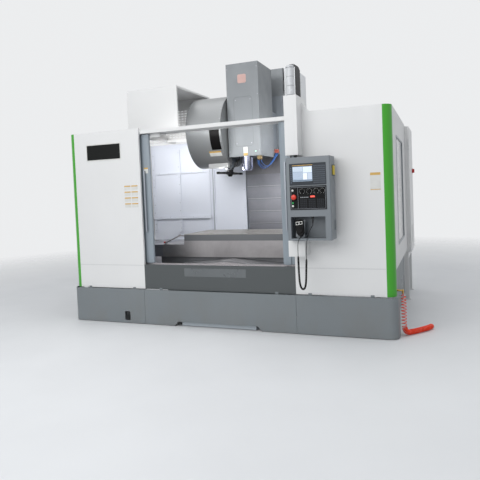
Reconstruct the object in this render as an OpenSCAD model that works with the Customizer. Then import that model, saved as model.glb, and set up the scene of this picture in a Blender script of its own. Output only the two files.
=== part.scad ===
// Vertical machining centre: moving table on a cross saddle, fixed column, arm tool changer and full front enclosure.
// Millimetres. Machine axes: X to the right, Y to the back, Z up, Y zero at the front of the base.
// The finished model is shifted so that its origin is the middle of its base on the floor.

/* [Enclosure] */
// Width over the base skirts
machine_w = 4300; // [3600:10:5000]
// Height of the base skirts
skirt_h = 454; // [300:1:600]
// Height of the front panels and side walls
enclosure_h = 2550; // [2300:10:2800]
// Depth of the side walls, to the back of the work zone
enclosure_d = 2133; // [2120:1:2400]
// How far the white panels stand behind the skirts
cover_setback = 30; // [10:1:60]
// How far the side walls stand inside the skirts
side_inset = 20; // [5:1:60]
// Depth of a folded panel
panel_t = 30; // [20:1:40]
// Sheet metal thickness
sheet_t = 3; // [2:0.5:5]
// Radius of the front corners
corner_r = 95; // [60:1:120]
// Width of the front opening between the white panels
opening_w = 2030; // [1700:10:2200]
// Height of the top of the front apron
apron_top = 780; // [700:1:785]
// Height of the hand slot's lower edge in the left skirt
slot_z = 41; // [20:1:200]
// Height of the coolant tray opening under the middle skirt
tray_gate_h = 62; // [40:1:110]
// Width of the window frame in the right side wall
side_window_w = 960; // [600:10:1200]
// Height of the window in the right side wall
side_window_h = 1240; // [800:10:1400]

/* [Doors] */
// Width of a door leaf
door_w = 1020; // [950:5:1080]
// Thickness of a door leaf
door_t = 32; // [25:1:40]
// Width of a door's leading post
door_post_w = 100; // [70:1:140]
// Position of the left door's leading edge when open
door_left_x = -910; // [-1000:5:-600]
// Position of the right door's leading edge when open
door_right_x = 852; // [600:1:1000]
// Length of a door handle
door_handle_l = 800; // [500:10:1000]
// Height of the top of a door leaf
door_top = 2468; // [2300:1:2470]

/* [Axes] */
// Travel of the table along X
travel_x = 1500; // [1000:10:1600]
// Travel of the saddle along Y
travel_y = 700; // [500:10:700]
// Travel of the head along Z
travel_z = 700; // [500:10:750]
// Table centre to the right of the spindle as photographed
table_x = 100; // [-300:5:300]
// Front edge of the table as photographed
table_front = 668; // [600:1:760]
// Spindle axis behind the front of the base
spindle_y = 1300; // [1250:1:1350]
// Height of the spindle nose at the top of its travel
nose_z = 1984; // [1900:1:2050]
// Height of the bed's guideways
way_z = 580; // [560:1:600]
// Oil film between a slide and its guideway
film = 0.05; // [0.02:0.01:0.1]

/* [Table] */
// Length of the table
table_w = 1700; // [1400:10:1800]
// Depth of the table
table_d = 800; // [700:10:820]
// Thickness of the table
table_t = 130; // [110:1:150]
// Height of the table's face
table_z = 1114; // [1100:1:1120]
// Width of a T-slot
t_slot_w = 22; // [18:1:28]
// Distance between T-slots
t_slot_pitch = 140; // [100:1:160]
// Number of T-slots
t_slots = 5; // [3:1:5]

/* [Head and column] */
// Width of the head cover
head_w = 486; // [440:1:520]
// Front face of the head cover
head_front = 1207; // [1180:1:1220]
// Depth of the head cover
head_d = 623; // [560:1:640]
// Bottom of the head cover at the top of its travel
head_z = 2185; // [2150:1:2250]
// Height of the head cover
head_h = 1327; // [1100:1:1340]
// Width of the column
column_w = 960; // [900:10:1000]
// Depth of the column
column_d = 740; // [650:10:760]
// Front of the column casting
column_front = 2250; // [2250:1:2300]
// Top of the column cover
column_top = 3600; // [3590:1:3700]
// Outer diameter of the spindle cartridge
cartridge_d = 165; // [140:1:190]
// Diameter of the spindle nose
nose_d = 128; // [100:1:140]
// Radial running clearance of the spindle in its cartridge
spindle_gap = 0.05; // [0.02:0.01:0.09]

/* [Way covers] */
// Number of moving plates in the column cover
z_plates = 5; // [5:1:5]
// Height of one column cover plate
z_plate_h = 240; // [225:1:260]
// Pitch of the plates with the cover pulled out
z_plate_pitch = 200; // [190:1:215]
// Half width of the top plate
z_cover_half_w = 346; // [338:1:348]
// Step in width from one plate to the next
z_plate_step_w = 5; // [4:0.5:5]
// Step in depth from one plate to the next
z_plate_step_d = 4.5; // [4:0.5:5]
// Length of one table cover box
x_box_l = 768; // [760:1:768]
// Length of one front roof cover
y_roof_l = 390; // [380:1:392]
// Height of the ridge of the front roof cover
y_roof_top = 792; // [785:1:795]

/* [Tool changer] */
// Outer radius of the magazine cover
drum_r = 525; // [500:1:540]
// Length of the magazine cover
drum_l = 550; // [520:1:570]
// Right end of the magazine cover
drum_right = -262; // [-300:1:-255]
// Height of the magazine axis
drum_z = 2580; // [2560:1:2600]
// Magazine axis behind the front of the base
drum_y = 1495; // [1470:1:1520]
// Number of tool pots
tool_pots = 24; // [16:2:30]
// Diameter of a tool pot
pot_d = 92; // [70:1:96]
// Radius of the pot circle
pot_circle_r = 440; // [420:1:445]
// Distance from the changer arm's axis to its grippers
arm_r = 332; // [300:1:340]
// Thickness of the changer arm
arm_t = 30; // [20:1:34]
// Stroke of the changer arm
arm_stroke = 135; // [100:1:180]

/* [Canopy] */
// Width of the magazine canopy
canopy_w = 827; // [700:1:900]
// Depth of the magazine canopy
canopy_d = 1115; // [900:5:1200]
// Height of the top of the magazine canopy
canopy_top = 3220; // [3150:5:3300]
// Front of the magazine canopy
canopy_front = 800; // [700:5:900]
// Rows of louvres in the canopy's back
louvre_rows = 11; // [6:1:11]
// Columns of louvres in the canopy's back
louvre_cols = 6; // [3:1:8]

/* [Operator panel] */
// Width of the operator box
panel_w = 482; // [420:1:520]
// Height of the operator box
panel_h = 900; // [880:1:920]
// Depth of the operator box
panel_d = 265; // [220:1:275]
// Left edge of the operator box
panel_x = 1040; // [1030:1:1060]
// Bottom of the operator box
panel_z = 1118; // [1110:1:1130]
// Front of the operator box
panel_front = -300; // [-320:1:-290]
// Side clearance of a knob or button in the operator plate
button_gap = 0.5; // [0.3:0.1:1]
// Diameter of a rotary knob
knob_d = 42; // [30:1:50]
// Diameter of the emergency stop
stop_d = 56; // [40:1:60]
// Diameter of a push-button
push_d = 22; // [18:1:24]
// Travel of a push-button
push_travel = 4; // [2:0.5:5]

/* [Hidden] */
$fn = 64;

// Shared gaps
seat = 0.3;
run_gap = 2;

// Machine outline
half_w = machine_w / 2;
skin_x = half_w - side_inset;
skin_y = cover_setback;
skirt_foot = 8;
panel_z0 = skirt_h + skirt_foot;
open_half = opening_w / 2;
seam_x = open_half + 1;
wall_in = skin_x - panel_t;
rear_y = 3000;

// Electrical cabinet behind the right side wall
cabinet_x0 = 1640;
cabinet_x1 = 2160;
cabinet_y0 = 2145;
cabinet_y1 = 3000;
cabinet_z0 = 700;
cabinet_z1 = 2530;
cabinet_door_t = 25;
isolator_reach = 35;

// Shift of the machine axes to the model's origin
stop_reach = 45;
right_end = cabinet_x1 + run_gap + cabinet_door_t + isolator_reach;
front_end = panel_front - stop_reach;
mid_x = (right_end - half_w) / 2;
mid_y = (rear_y + front_end) / 2;

// Base casting
bed_half = 850;
bed_front = 330;
bed_back = rear_y;
bed_foot = 60;
rail_x_in = 350;
rail_x_out = 760;
rail_w = 110;
column_foot_y = 2180;
screw_y_z = 530;

// Saddle
saddle_half = 1150;
saddle_y0 = table_front + 32;
saddle_y1 = table_front + 752;
saddle_z0 = way_z + 70;
saddle_z1 = 850;
x_rail_z = 910;
leg_half = 430;
leg_clear = 6;
x_leg_z = table_z - table_t;
screw_x_y = table_front + table_d / 2;
screw_x_z = 850;

// Table covers
x_cover_end = 1950;
x_box_top = 975;
x_box_low = 802;
x_box_y0 = table_front - 8;
x_box_y1 = table_front + table_d + 8;
x_box_step = 5;

// Front and rear roof covers
roof_half = 745;
roof_side_z = 722;
roof_low_z = 656;
roof_step = 4;
roof_front = 178;
rear_roof_half = 410;

// Column cover plates
z_cover_y = 2130;
z_cover_low = head_z + 5 - z_plate_h - (z_plates + 1) * z_plate_pitch;
z_flange = 34;

// Column
col_half = column_w / 2;
col_back = column_front + column_d;
column_cover_y = 2160;
z_rail_x0 = 225;
z_rail_x1 = 335;
z_rail_front = 2175;
slide_front = 2060;
slide_back = z_rail_front - film;
slide_half = 335;
slide_z0 = 2250;
slide_z1 = 3150;
screw_z_y = 2275;

// Changer: the arm's axis lies half way between the spindle and the waiting pot
pot_y = drum_y;
swap_half_y = (pot_y - spindle_y) / 2;
swap_half_x = sqrt(arm_r * arm_r - swap_half_y * swap_half_y);
arm_x = -swap_half_x;
arm_y = spindle_y + swap_half_y;
arm_z = nose_z - 8 - arm_t;
claw_r = 68;
collar_z = arm_z + arm_t + 38;
shaft_r = 32;
axle_r = 39.95;
pot_x = -2 * swap_half_x;
pot_z = drum_z - pot_circle_r;
pot_l = pot_z - nose_z - 4;
pot_pin_r = 8;
disc_x = -600;
disc_t = 16;
drum_left = drum_right - drum_l;

// Canopy
canopy_right = -841;
canopy_left = canopy_right - canopy_w;
canopy_low = 2600;

// Operator panel
panel_back = panel_front + panel_d;
pivot_x = 1075;
pivot_y = -90;
plate_x0 = 1079;
plate_x1 = 1479;
unit_z0 = 1716;
unit_z1 = 1950;
keys_z0 = 1450;
keys_z1 = 1706;
recess_x0 = 1078;
recess_x1 = 1457;
recess_z0 = 1140;
recess_z1 = 1376;
recess_d = 190;
key_face = panel_front - 3;
knob_x = [1213, 1292, 1368, 1434];
knob_z = 1651;
stop_pos = [1126, 1589];
light_pos = [1109, 1662];
start_pos = [1109, 1527];
hold_pos = [1109, 1494];

// Arm box that carries the operator panel
arm_box_x0 = 1003;
arm_box_x1 = 1148;
arm_box_y0 = -170;
arm_box_z0 = 2055;
arm_box_z1 = 2715;
arm_box_back = 255;

// Pendant with the hand wheel
pendant_x = 1164;
pendant_z = 1252;
pendant_w = 84;
pendant_h = 180;
pendant_t = 42;
pendant_tilt = -12;
pendant_y = -252;
pendant_lean = -7;

// Route of the pendant cord, thin lead, curly middle and thin lead
lead_d = 9;
curl_d = 24;
lead_down = [[1175, -274, 1153], [1175, -283, 1150], [1174, -298, 1151], [1170, -310, 1146], [1162, -315, 1128],
    [1152, -316, 1090], [1148, -314, 1040], [1147, -310, 960]];
curl_route = [[1147, -310, 960], [1148, -310, 880], [1149, -310, 800], [1151, -310, 720], [1157, -310, 650],
    [1170, -310, 606], [1190, -310, 590], [1210, -310, 606], [1222, -310, 650], [1228, -310, 720],
    [1232, -310, 800], [1236, -310, 880], [1238, -310, 930]];
lead_up = [[1238, -310, 930], [1240, -310, 1000], [1246, -312, 1080], [1256, -310, 1150], [1274, -290, 1210],
    [1292, -262, 1254], [1304, -243, 1284], [1306, -240, 1304], [1306, -240, 1315.6]];

// Route of the coiled air hose down the right side and along the floor
hose_d = 62;
hose_route = [[2182, 250, 470], [2188, 238, 400], [2190, 225, 300], [2190, 212, 200], [2192, 205, 120],
    [2205, 215, 60], [2235, 245, 36], [2300, 320, 32], [2380, 420, 32], [2440, 510, 32], [2480, 600, 32]];

// Coolant and air lines at the head
line_d = 11;
blue_line_a = [[196, 1262, 2121.6], [196, 1262, 2104], [196, 1275, 2080], [208, 1310, 2050], [222, 1400, 2020], [232, 1550, 2040],
    [246, 1700, 2110], [252, 1820, 2180], [252, 1900, 2214], [252, 1930, 2240],
    [252, 1930, 2259.6]];
blue_line_b = [[230, 1262, 2121.6], [230, 1262, 2108], [231, 1280, 2088], [238, 1330, 2062], [246, 1430, 2040], [254, 1570, 2060],
    [264, 1710, 2120], [270, 1820, 2184], [270, 1900, 2216], [270, 1930, 2242],
    [270, 1930, 2259.6]];

// Basic forms
module place() translate([-mid_x, -mid_y, 0]) children();

module block(lo, hi) translate(lo) cube(hi - lo);

module bar_x(p, r, l) translate(p) rotate([0, 90, 0]) cylinder(r = r, h = l);

module bar_y(p, r, l) translate(p) rotate([-90, 0, 0]) cylinder(r = r, h = l);

module bar_z(p, r, l) translate(p) cylinder(r = r, h = l);

// A round rod from one point to another
module rod(a, b, r) translate(a) rotate([0, acos((b[2] - a[2]) / norm(b - a)), atan2(b[1] - a[1], b[0] - a[0])])
    cylinder(r = r, h = norm(b - a));

// Rounded rectangle between two corners
module round_rect(lo, hi, r) {
    translate([lo[0] + r, lo[1]]) square([hi[0] - lo[0] - 2 * r, hi[1] - lo[1]]);
    translate([lo[0], lo[1] + r]) square([hi[0] - lo[0], hi[1] - lo[1] - 2 * r]);
    for (x = [lo[0] + r, hi[0] - r], z = [lo[1] + r, hi[1] - r])
        translate([x, z]) circle(r = r, $fn = 32);
}

// An outline in X and Z, drawn back from its front plane
module front_form(y, t) translate([0, y + t, 0]) rotate([90, 0, 0]) linear_extrude(t) children();

// An outline in Y and Z, drawn to the right from its left plane
module side_form(x, t) translate([x, 0, 0]) rotate([90, 0, 90]) linear_extrude(t) children();

// A folded tray of sheet: closed at the front, open at the back
module front_tray(lo, hi, t) difference() {
    block(lo, hi);
    block([lo[0] + t, lo[1] + t, lo[2] + t], [hi[0] - t, hi[1] + 1, hi[2] - t]);
}

module mirrored_x() {
    children();
    mirror([1, 0, 0]) children();
}

// A round tube swept along the points of a route
function unit(v) = v / norm(v);
function heading(p, i) = unit(p[min(i + 1, len(p) - 1)] - p[max(i - 1, 0)]);
function ring(p, i, r, n, across) = let (d = heading(p, i), a = unit(cross(d, across)), b = cross(d, a))
    [for (k = [0:n - 1]) p[i] + r * (a * cos(360 * k / n) + b * sin(360 * k / n))];
module tube(p, d, n, across) {
    m = len(p);
    points = [for (i = [0:m - 1]) each ring(p, i, d / 2, n, across)];
    sides = [for (i = [0:m - 2], k = [0:n - 1])
        [(i + 1) * n + k, (i + 1) * n + (k + 1) % n, i * n + (k + 1) % n, i * n + k]];
    ends = [[for (k = [0:n - 1]) k], [for (k = [n - 1:-1:0]) (m - 1) * n + k]];
    polyhedron(points = points, faces = concat(sides, ends), convexity = 6);
}

// Servo motor along +Z: flange, body and rear cap
module servo(w, l) {
    block([-w / 2, -w / 2, 0], [w / 2, w / 2, 18]);
    translate([0, 0, 18]) linear_extrude(l - 60) round_rect([-w / 2 + 6, -w / 2 + 6], [w / 2 - 6, w / 2 - 6], 12);
    translate([0, 0, l - 42]) cylinder(r = w / 2 - 16, h = 42);
}

// Base casting with four guideways, chip gutters, feed screw, its motor and the levelling feet
module bed_profile() {
    translate([-bed_half, bed_foot]) square([2 * bed_half, 390]);
    for (s = [-1, 1]) {
        translate([s * rail_x_in - rail_w / 2, 440]) square([rail_w, way_z - 440]);
        translate([s * rail_x_out - rail_w / 2, 440]) square([rail_w, way_z - 440]);
    }
    for (s = [-1, 1])
        polygon([[s * 300, 440], [s * 300, 500], [s * 150, 470], [s * 150, 440]]);
    for (s = [-1, 1])
        polygon([[s * 400, 440], [s * 400, 505], [s * 710, 470], [s * 710, 440]]);
}

module levelling_foot(x, y) {
    bar_z([x, y, 0], 70, 22);
    bar_z([x, y, 22], 45, 10);
    bar_z([x, y, 32], 18, bed_foot - 32);
}

module bed_casting() color("dimgray") place() {
    difference() {
        union() {
            front_form(bed_front, column_foot_y - 30 - bed_front) bed_profile();
            block([-bed_half, column_foot_y - 30, bed_foot], [bed_half, bed_back, 560]);
        }
        for (x = [-490, 0, 490], y = [bed_front + 90 : 430 : bed_back - 400])
            block([x - 190, y, bed_foot - 1], [x + 190, y + 350, 400]);
    }
    for (x = [-765, -245, 245, 765], y = [bed_front + 75, 1670, bed_back - 75])
        levelling_foot(x, y);
    block([-90, bed_front, 440], [90, bed_front + 60, screw_y_z + 70]);
    bar_y([0, bed_front + 50, screw_y_z], 25, column_foot_y - 70 - bed_front);
    translate([0, bed_front, screw_y_z]) rotate([90, 0, 0]) servo(130, 230);
}

// Column with box guideways, feed screw and the motor on its top
module column_outline() polygon([[-600, 560], [600, 560], [600, 660], [col_half, 1000],
    [col_half, 3250], [-col_half, 3250], [-col_half, 1000], [-600, 660]]);

module column_casting() color("lightgray") place() {
    difference() {
        front_form(column_front, column_d) column_outline();
        block([-col_half + 90, column_front + 110, 1000], [col_half - 90, col_back - 90, 3251]);
        block([-140, column_front - 1, 760], [140, column_front + 75, 3251]);
        block([-rear_roof_half - 20, column_front - 1, 559], [rear_roof_half + 20, col_back + 1, 730]);
        for (z = [1250, 1850, 2450])
            front_form(col_back - 91, 92) round_rect([-200, z], [200, z + 420], 60);
    }
    difference() {
        block([-600, column_foot_y, 560], [600, column_front, 640]);
        block([-rear_roof_half - 20, column_foot_y - 1, 559], [rear_roof_half + 20, column_front + 1, 641]);
    }
    for (s = [-1, 1])
        block([min(s * z_rail_x0, s * z_rail_x1), z_rail_front, 900], [max(s * z_rail_x0, s * z_rail_x1), column_front, 3240]);
    block([-100, z_rail_front + 30, 3250], [100, column_front + 200, 3275]);
    bar_z([0, screw_z_y, 790], 25, 2465);
    block([-70, z_rail_front + 40, 740], [70, column_front + 75, 800]);
    translate([0, screw_z_y, 3275]) servo(170, column_top - 3275 - 20);
}

// One link of the cable chain, its hinge ends overlapping the next link's
chain_pitch = 66;
chain_w = 70;
chain_h = 46;
module chain_link(h = chain_h) {
    difference() {
        block([-chain_w / 2, -h / 2, -chain_pitch / 2], [chain_w / 2, h / 2, chain_pitch / 2]);
        block([-chain_w / 2 + 6, -h / 2 - 1, -12], [chain_w / 2 - 6, -h / 2 + 4, 12]);
        for (x = [-chain_w / 2, chain_w / 2])
            block([x - 3, -h / 2 + 10, -chain_pitch / 2 + 1], [x + 3, h / 2 - 10, chain_pitch / 2 - 22]);
    }
}

// Sheet cover round the column's top, with the channel and the fixed run of the cable chain
chain_x = 551;
chain_y = 2225;
chain_loop_r = 90;
chain_links = 12;
chain_top = column_top - 75;
module column_cover() color("white") place() {
    x1 = col_half + 10;
    y0 = column_cover_y;
    for (s = [-1, 1])
        block([s * (x1 - 5) - 4.7, 2500, 2200], [s * (x1 - 5) + 4.7, 2600, 2300]);
    y1 = col_back + 5;
    difference() {
        block([-x1, y0, 2100], [x1, y1, column_top]);
        block([-x1 + sheet_t, y0 + sheet_t, 2099], [x1 - sheet_t, y1 - sheet_t, column_top - sheet_t]);
        block([-slide_half - 13, y0 - 1, 2099], [slide_half + 13, y0 + sheet_t + 1, column_top - sheet_t]);
        block([chain_x - 2 * chain_loop_r - chain_w / 2 - 4, chain_y - chain_h / 2 - 4, column_top - 10],
            [chain_x - 2 * chain_loop_r + chain_w / 2 + 4, chain_y + chain_h / 2 + 4, column_top + 1]);
    }
    difference() {
        block([x1, chain_y - 32, 2100], [chain_x - chain_w / 2, chain_y + 32, column_top - 60]);
        block([x1 - 1, chain_y - 29, 2099], [chain_x - chain_w / 2 - sheet_t, chain_y + 29, column_top - 59]);
    }
    color("black") {
        for (i = [0:chain_links])
            translate([chain_x, chain_y, chain_top - (i + 0.5) * chain_pitch]) chain_link();
        for (i = [0:4])
            translate([chain_x - chain_loop_r, chain_y, chain_top])
                rotate([0, -36 * i - 18, 0]) translate([chain_loop_r, 0, 0]) chain_link(chain_h - 2 - 2 * (i % 2));
        translate([chain_x - 2 * chain_loop_r, chain_y, chain_top - chain_pitch / 2]) chain_link();
    }
}

// Grey base skirts: left, middle and right sheets and the recessed side sheets
module skirt_corner() {
    x = half_w - corner_r;
    translate([x, corner_r, skirt_foot]) linear_extrude(skirt_h - skirt_foot) difference() {
        intersection() {
            circle(r = corner_r);
            translate([0, -corner_r]) square([corner_r, corner_r]);
        }
        circle(r = corner_r - sheet_t);
    }
    block([half_w - sheet_t, corner_r, skirt_foot], [half_w, corner_r + 130, skirt_h]);
}

module base_skirts() color("slategray") place() {
    for (x = [-1900, -1200, -800, 760, 1160, 1860])
        block([x, cover_setback - 4, skirt_h - 1], [x + 40, cover_setback - seat, skirt_h + 26]);
    difference() {
        mirrored_x() {
            block([seam_x + 3, 0, skirt_foot], [half_w - corner_r, sheet_t, skirt_h]);
            block([seam_x + 3, 0, skirt_h - sheet_t], [half_w - corner_r, cover_setback - 1, skirt_h]);
            skirt_corner();
            block([seam_x + 3, sheet_t, skirt_foot], [seam_x + 3 + sheet_t, 40, skirt_h - sheet_t]);
            block([seam_x + 3, sheet_t, skirt_foot], [half_w - corner_r, 40, skirt_foot + sheet_t]);
        }
        front_form(-1, 60) round_rect([-1329, slot_z], [-1245, slot_z + 119], 12);
    }
    difference() {
        union() {
            block([-seam_x, 0, skirt_foot], [seam_x, sheet_t, skirt_h]);
            block([-seam_x, 0, skirt_h - sheet_t], [seam_x, cover_setback - 1, skirt_h]);
        }
        front_form(-1, 60) polygon([[-592 - tray_gate_h, -tray_gate_h], [-536, tray_gate_h], [536, tray_gate_h],
            [592 + tray_gate_h, -tray_gate_h]]);
    }
    mirrored_x() difference() {
        block([half_w - 73, corner_r + 130, 100], [half_w - 70, enclosure_d, panel_z0 + 285]);
        for (i = [0:5])
            side_form(half_w - 74, 5) round_rect([1500, 200 + i * 40], [1900, 212 + i * 40], 5);
    }
}

// White front panels either side of the opening
module front_panel() difference() {
    front_tray([open_half, skin_y, panel_z0], [skin_x - corner_r, skin_y + panel_t, enclosure_h], sheet_t);
    block([open_half - 1, skin_y - 1, apron_top - 30], [skin_x, skin_y + 1, apron_top - 27]);
}

module front_panels() color("white") place() mirrored_x() front_panel();

// Green corner posts
module corner_trim() {
    translate([skin_x - corner_r, skin_y + corner_r, panel_z0]) linear_extrude(enclosure_h - panel_z0)
        difference() {
            intersection() {
                circle(r = corner_r);
                translate([0, -corner_r]) square(corner_r);
            }
            circle(r = corner_r - 4);
        }
    block([skin_x - corner_r + seat, skin_y + 4, panel_z0], [skin_x - corner_r + 4, skin_y + panel_t, enclosure_h]);
    block([skin_x - panel_t, skin_y + corner_r - 4 - seat, panel_z0],
        [skin_x - 4, skin_y + corner_r - seat, enclosure_h]);
}

module corner_trims() color("limegreen") place() mirrored_x() corner_trim();

// Side walls of the work zone, the right one with a window
win_y0 = skin_y + corner_r + 455;
win_z0 = 1000;
module side_wall() difference() {
    block([skin_x - panel_t, skin_y + corner_r, panel_z0 + 288], [skin_x, enclosure_d, enclosure_h]);
    block([skin_x - panel_t + sheet_t, skin_y + corner_r + sheet_t, panel_z0 + 288 - 1],
        [skin_x - sheet_t, enclosure_d - sheet_t, enclosure_h - sheet_t]);
}

module window_frame(y, z, w, h, b) difference() {
    block([skin_x - panel_t, y - b, z - b], [skin_x + 4, y + w + b, z + h + b]);
    block([skin_x - panel_t - 1, y, z], [skin_x + 5, y + w, z + h]);
}

module side_walls() color("whitesmoke") place() {
    difference() {
        side_wall();
        block([skin_x - panel_t - 1, win_y0 - 20, win_z0 - 20],
            [skin_x + 1, win_y0 + side_window_w + 20, win_z0 + side_window_h + 20]);
    }
    window_frame(win_y0, win_z0, side_window_w, side_window_h, 20);
    block([skin_x - panel_t, win_y0 + side_window_w / 2 - 12, win_z0], [skin_x - 14, win_y0 + side_window_w / 2 + 12,
        win_z0 + side_window_h]);
    for (i = [1:7])
        bar_y([skin_x - panel_t + 9, win_y0, win_z0 + i * side_window_h / 8], 6, side_window_w);
    mirror([1, 0, 0]) side_wall();
}

// Window panes that stay put: side window and the magazine's inspection window
mag_win_a0 = -1;
mag_win_a1 = -33;
mag_win_x0 = -440;
mag_win_x1 = -288;
module magazine_window_form(r0, r1, grow) translate([mag_win_x0 - grow, drum_y, drum_z]) rotate([0, 90, 0])
    linear_extrude(mag_win_x1 - mag_win_x0 + 2 * grow) difference() {
        intersection() {
            circle(r = r1, $fn = 180);
            polygon([[0, 0], [-2 * r1 * sin(mag_win_a0 + grow / 10), -2 * r1 * cos(mag_win_a0 + grow / 10)],
                [-2 * r1 * sin(mag_win_a1 - grow / 10), -2 * r1 * cos(mag_win_a1 - grow / 10)]]);
        }
        circle(r = r0, $fn = 180);
    }

module fixed_windows() color([0.2, 0.22, 0.25]) place() {
    block([skin_x - 12, win_y0, win_z0], [skin_x - 6, win_y0 + side_window_w, win_z0 + side_window_h]);
    magazine_window_form(drum_r - 4, drum_r, 0);
}

// Inner back wall of the work zone either side of the column cover, with its seams and corner posts
liner_in = z_cover_half_w + 6;
module work_zone_liner() color("white") place() mirrored_x() {
    y = enclosure_d;
    top = enclosure_h - 10;
    block([liner_in, y, 735], [905, y + sheet_t, top]);
    block([liner_in, y, top], [col_half + 20, column_cover_y - seat, top + sheet_t]);
    block([col_half + 20, y, top], [905, y + 40, top + sheet_t]);
    block([905, y - 14, 735], [941, y + sheet_t, top]);
    block([941, y, 735], [1588, y + sheet_t, 1262]);
    block([941, y - 8, 1262], [1588, y + sheet_t - 8, 2044]);
    block([941, y - 8, 1262], [1588, y + sheet_t, 1265]);
    block([941, y - 8, 2048], [1588, y + sheet_t - 8, top]);
    block([941, y - 8, 2044], [1588, y + sheet_t, 2048]);
    block([1592, y, 735], [wall_in - seat, y + sheet_t, 1262]);
    block([1592, y - 8, 1262], [wall_in - seat, y + sheet_t - 8, 2044]);
    block([1592, y - 8, 1262], [wall_in - seat, y + sheet_t, 1265]);
    block([1592, y - 8, 2048], [wall_in - seat, y + sheet_t - 8, top]);
    block([1592, y - 8, 2044], [wall_in - seat, y + sheet_t, 2048]);
    block([1588, y - 6, 735], [1592, y + sheet_t, top]);
    block([930, y + 1, top - 40], [cabinet_x0 - 10, y + 40, top - 37]);
}

// White beam above the doors, with the track that the doors hang on
header_y0 = skin_y + panel_t + 2;
header_y1 = 290;
header_z0 = 2478;
header_z1 = 2525;
track_y = 125;
track_top = 2490;
module door_header() color("white") place() {
    difference() {
        block([-wall_in, header_y0, header_z0], [wall_in, header_y1, header_z1]);
        block([-wall_in - 1, header_y0 + sheet_t, header_z0 - 1], [wall_in + 1, header_y1 - sheet_t, header_z1 - sheet_t]);
    }
    block([-wall_in, track_y - 7, header_z0], [wall_in, track_y + 7, track_top]);
    mirrored_x() block([wall_in - sheet_t, header_y0, header_z0 - 12], [wall_in, header_y1, header_z1]);
    // Door switch
    block([door_left_x + 5, track_y + 21, header_z0 - 50], [door_left_x + 145, track_y + 35, header_z1 - 1]);
}

// Guards that stay put: apron, door sill and rail, chip slopes, lowest cover plates and the coolant tray
module roof_outline(half, top, side, low, t) difference() {
    polygon([[-half, low], [-half, side], [0, top], [half, side], [half, low]]);
    polygon([[-half + t, low - 1], [-half + t, side - t], [0, top - t], [half - t, side - t], [half - t, low - 1]]);
}

module z_plate(i) {
    half = z_cover_half_w - i * z_plate_step_w;
    y = z_cover_y + i * z_plate_step_d;
    z = z_cover_low + (z_plates + 1 - i) * z_plate_pitch;
    front_form(y, 2) translate([-half, z]) square([2 * half, z_plate_h]);
    for (s = [-1, 1])
        block([s * (half - 1) - 1, y, z], [s * (half - 1) + 1, y + z_flange - i * z_plate_step_d, z + z_plate_h]);
    if (i <= z_plates)
        block([-half + 8, y + 2, z], [half - 8, y + z_plate_step_d - seat, z + 8]);
}

module fixed_guards() color("silver") place() {
    sill_y0 = header_y0;
    pan_x = half_w - 73 - seat;
    block([-wall_in, sill_y0, apron_top - 6], [wall_in, 175, apron_top - 3]);
    block([-wall_in, sill_y0, apron_top - 60], [wall_in, sill_y0 + sheet_t, apron_top - 6]);
    block([-wall_in, track_y - 5, apron_top - 3], [wall_in, track_y + 5, apron_top + 10]);
    mirrored_x() {
        front_form(176, enclosure_d - 176 - 10) polygon([[bed_half + 2, 490], [pan_x, 690], [pan_x, 694],
            [bed_half + 2, 494]]);
        block([pan_x - sheet_t, 176, 690], [pan_x, enclosure_d - 10, 748]);
    }
    half = roof_half - 2 * roof_step;
    front_form(roof_front, y_roof_l)
        roof_outline(half, y_roof_top - 2 * roof_step, roof_side_z - 2 * roof_step, roof_low_z, sheet_t);
    front_form(roof_front, sheet_t) polygon([[-half, roof_low_z - 50], [-half, roof_side_z - 2 * roof_step],
        [0, y_roof_top - 2 * roof_step], [half, roof_side_z - 2 * roof_step], [half, roof_low_z - 50]]);
    mirrored_x() block([rail_x_in - 30, roof_front, 500], [rail_x_in + 30, bed_front - seat, roof_low_z - 50]);
    front_tray([-open_half + seat, skin_y, panel_z0], [open_half - seat, skin_y + panel_t, apron_top], sheet_t);
    z_plate(z_plates + 1);
    difference() {
        block([-500, 45, 6], [500, bed_front - 10, 52]);
        block([-497, 48, 9], [497, bed_front - 13, 53]);
    }
    block([-200, bed_front - 13, 49], [200, bed_front - 10, 80]);
    block([-200, bed_front - 10, 64], [200, bed_front - seat, 80]);
}

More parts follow.
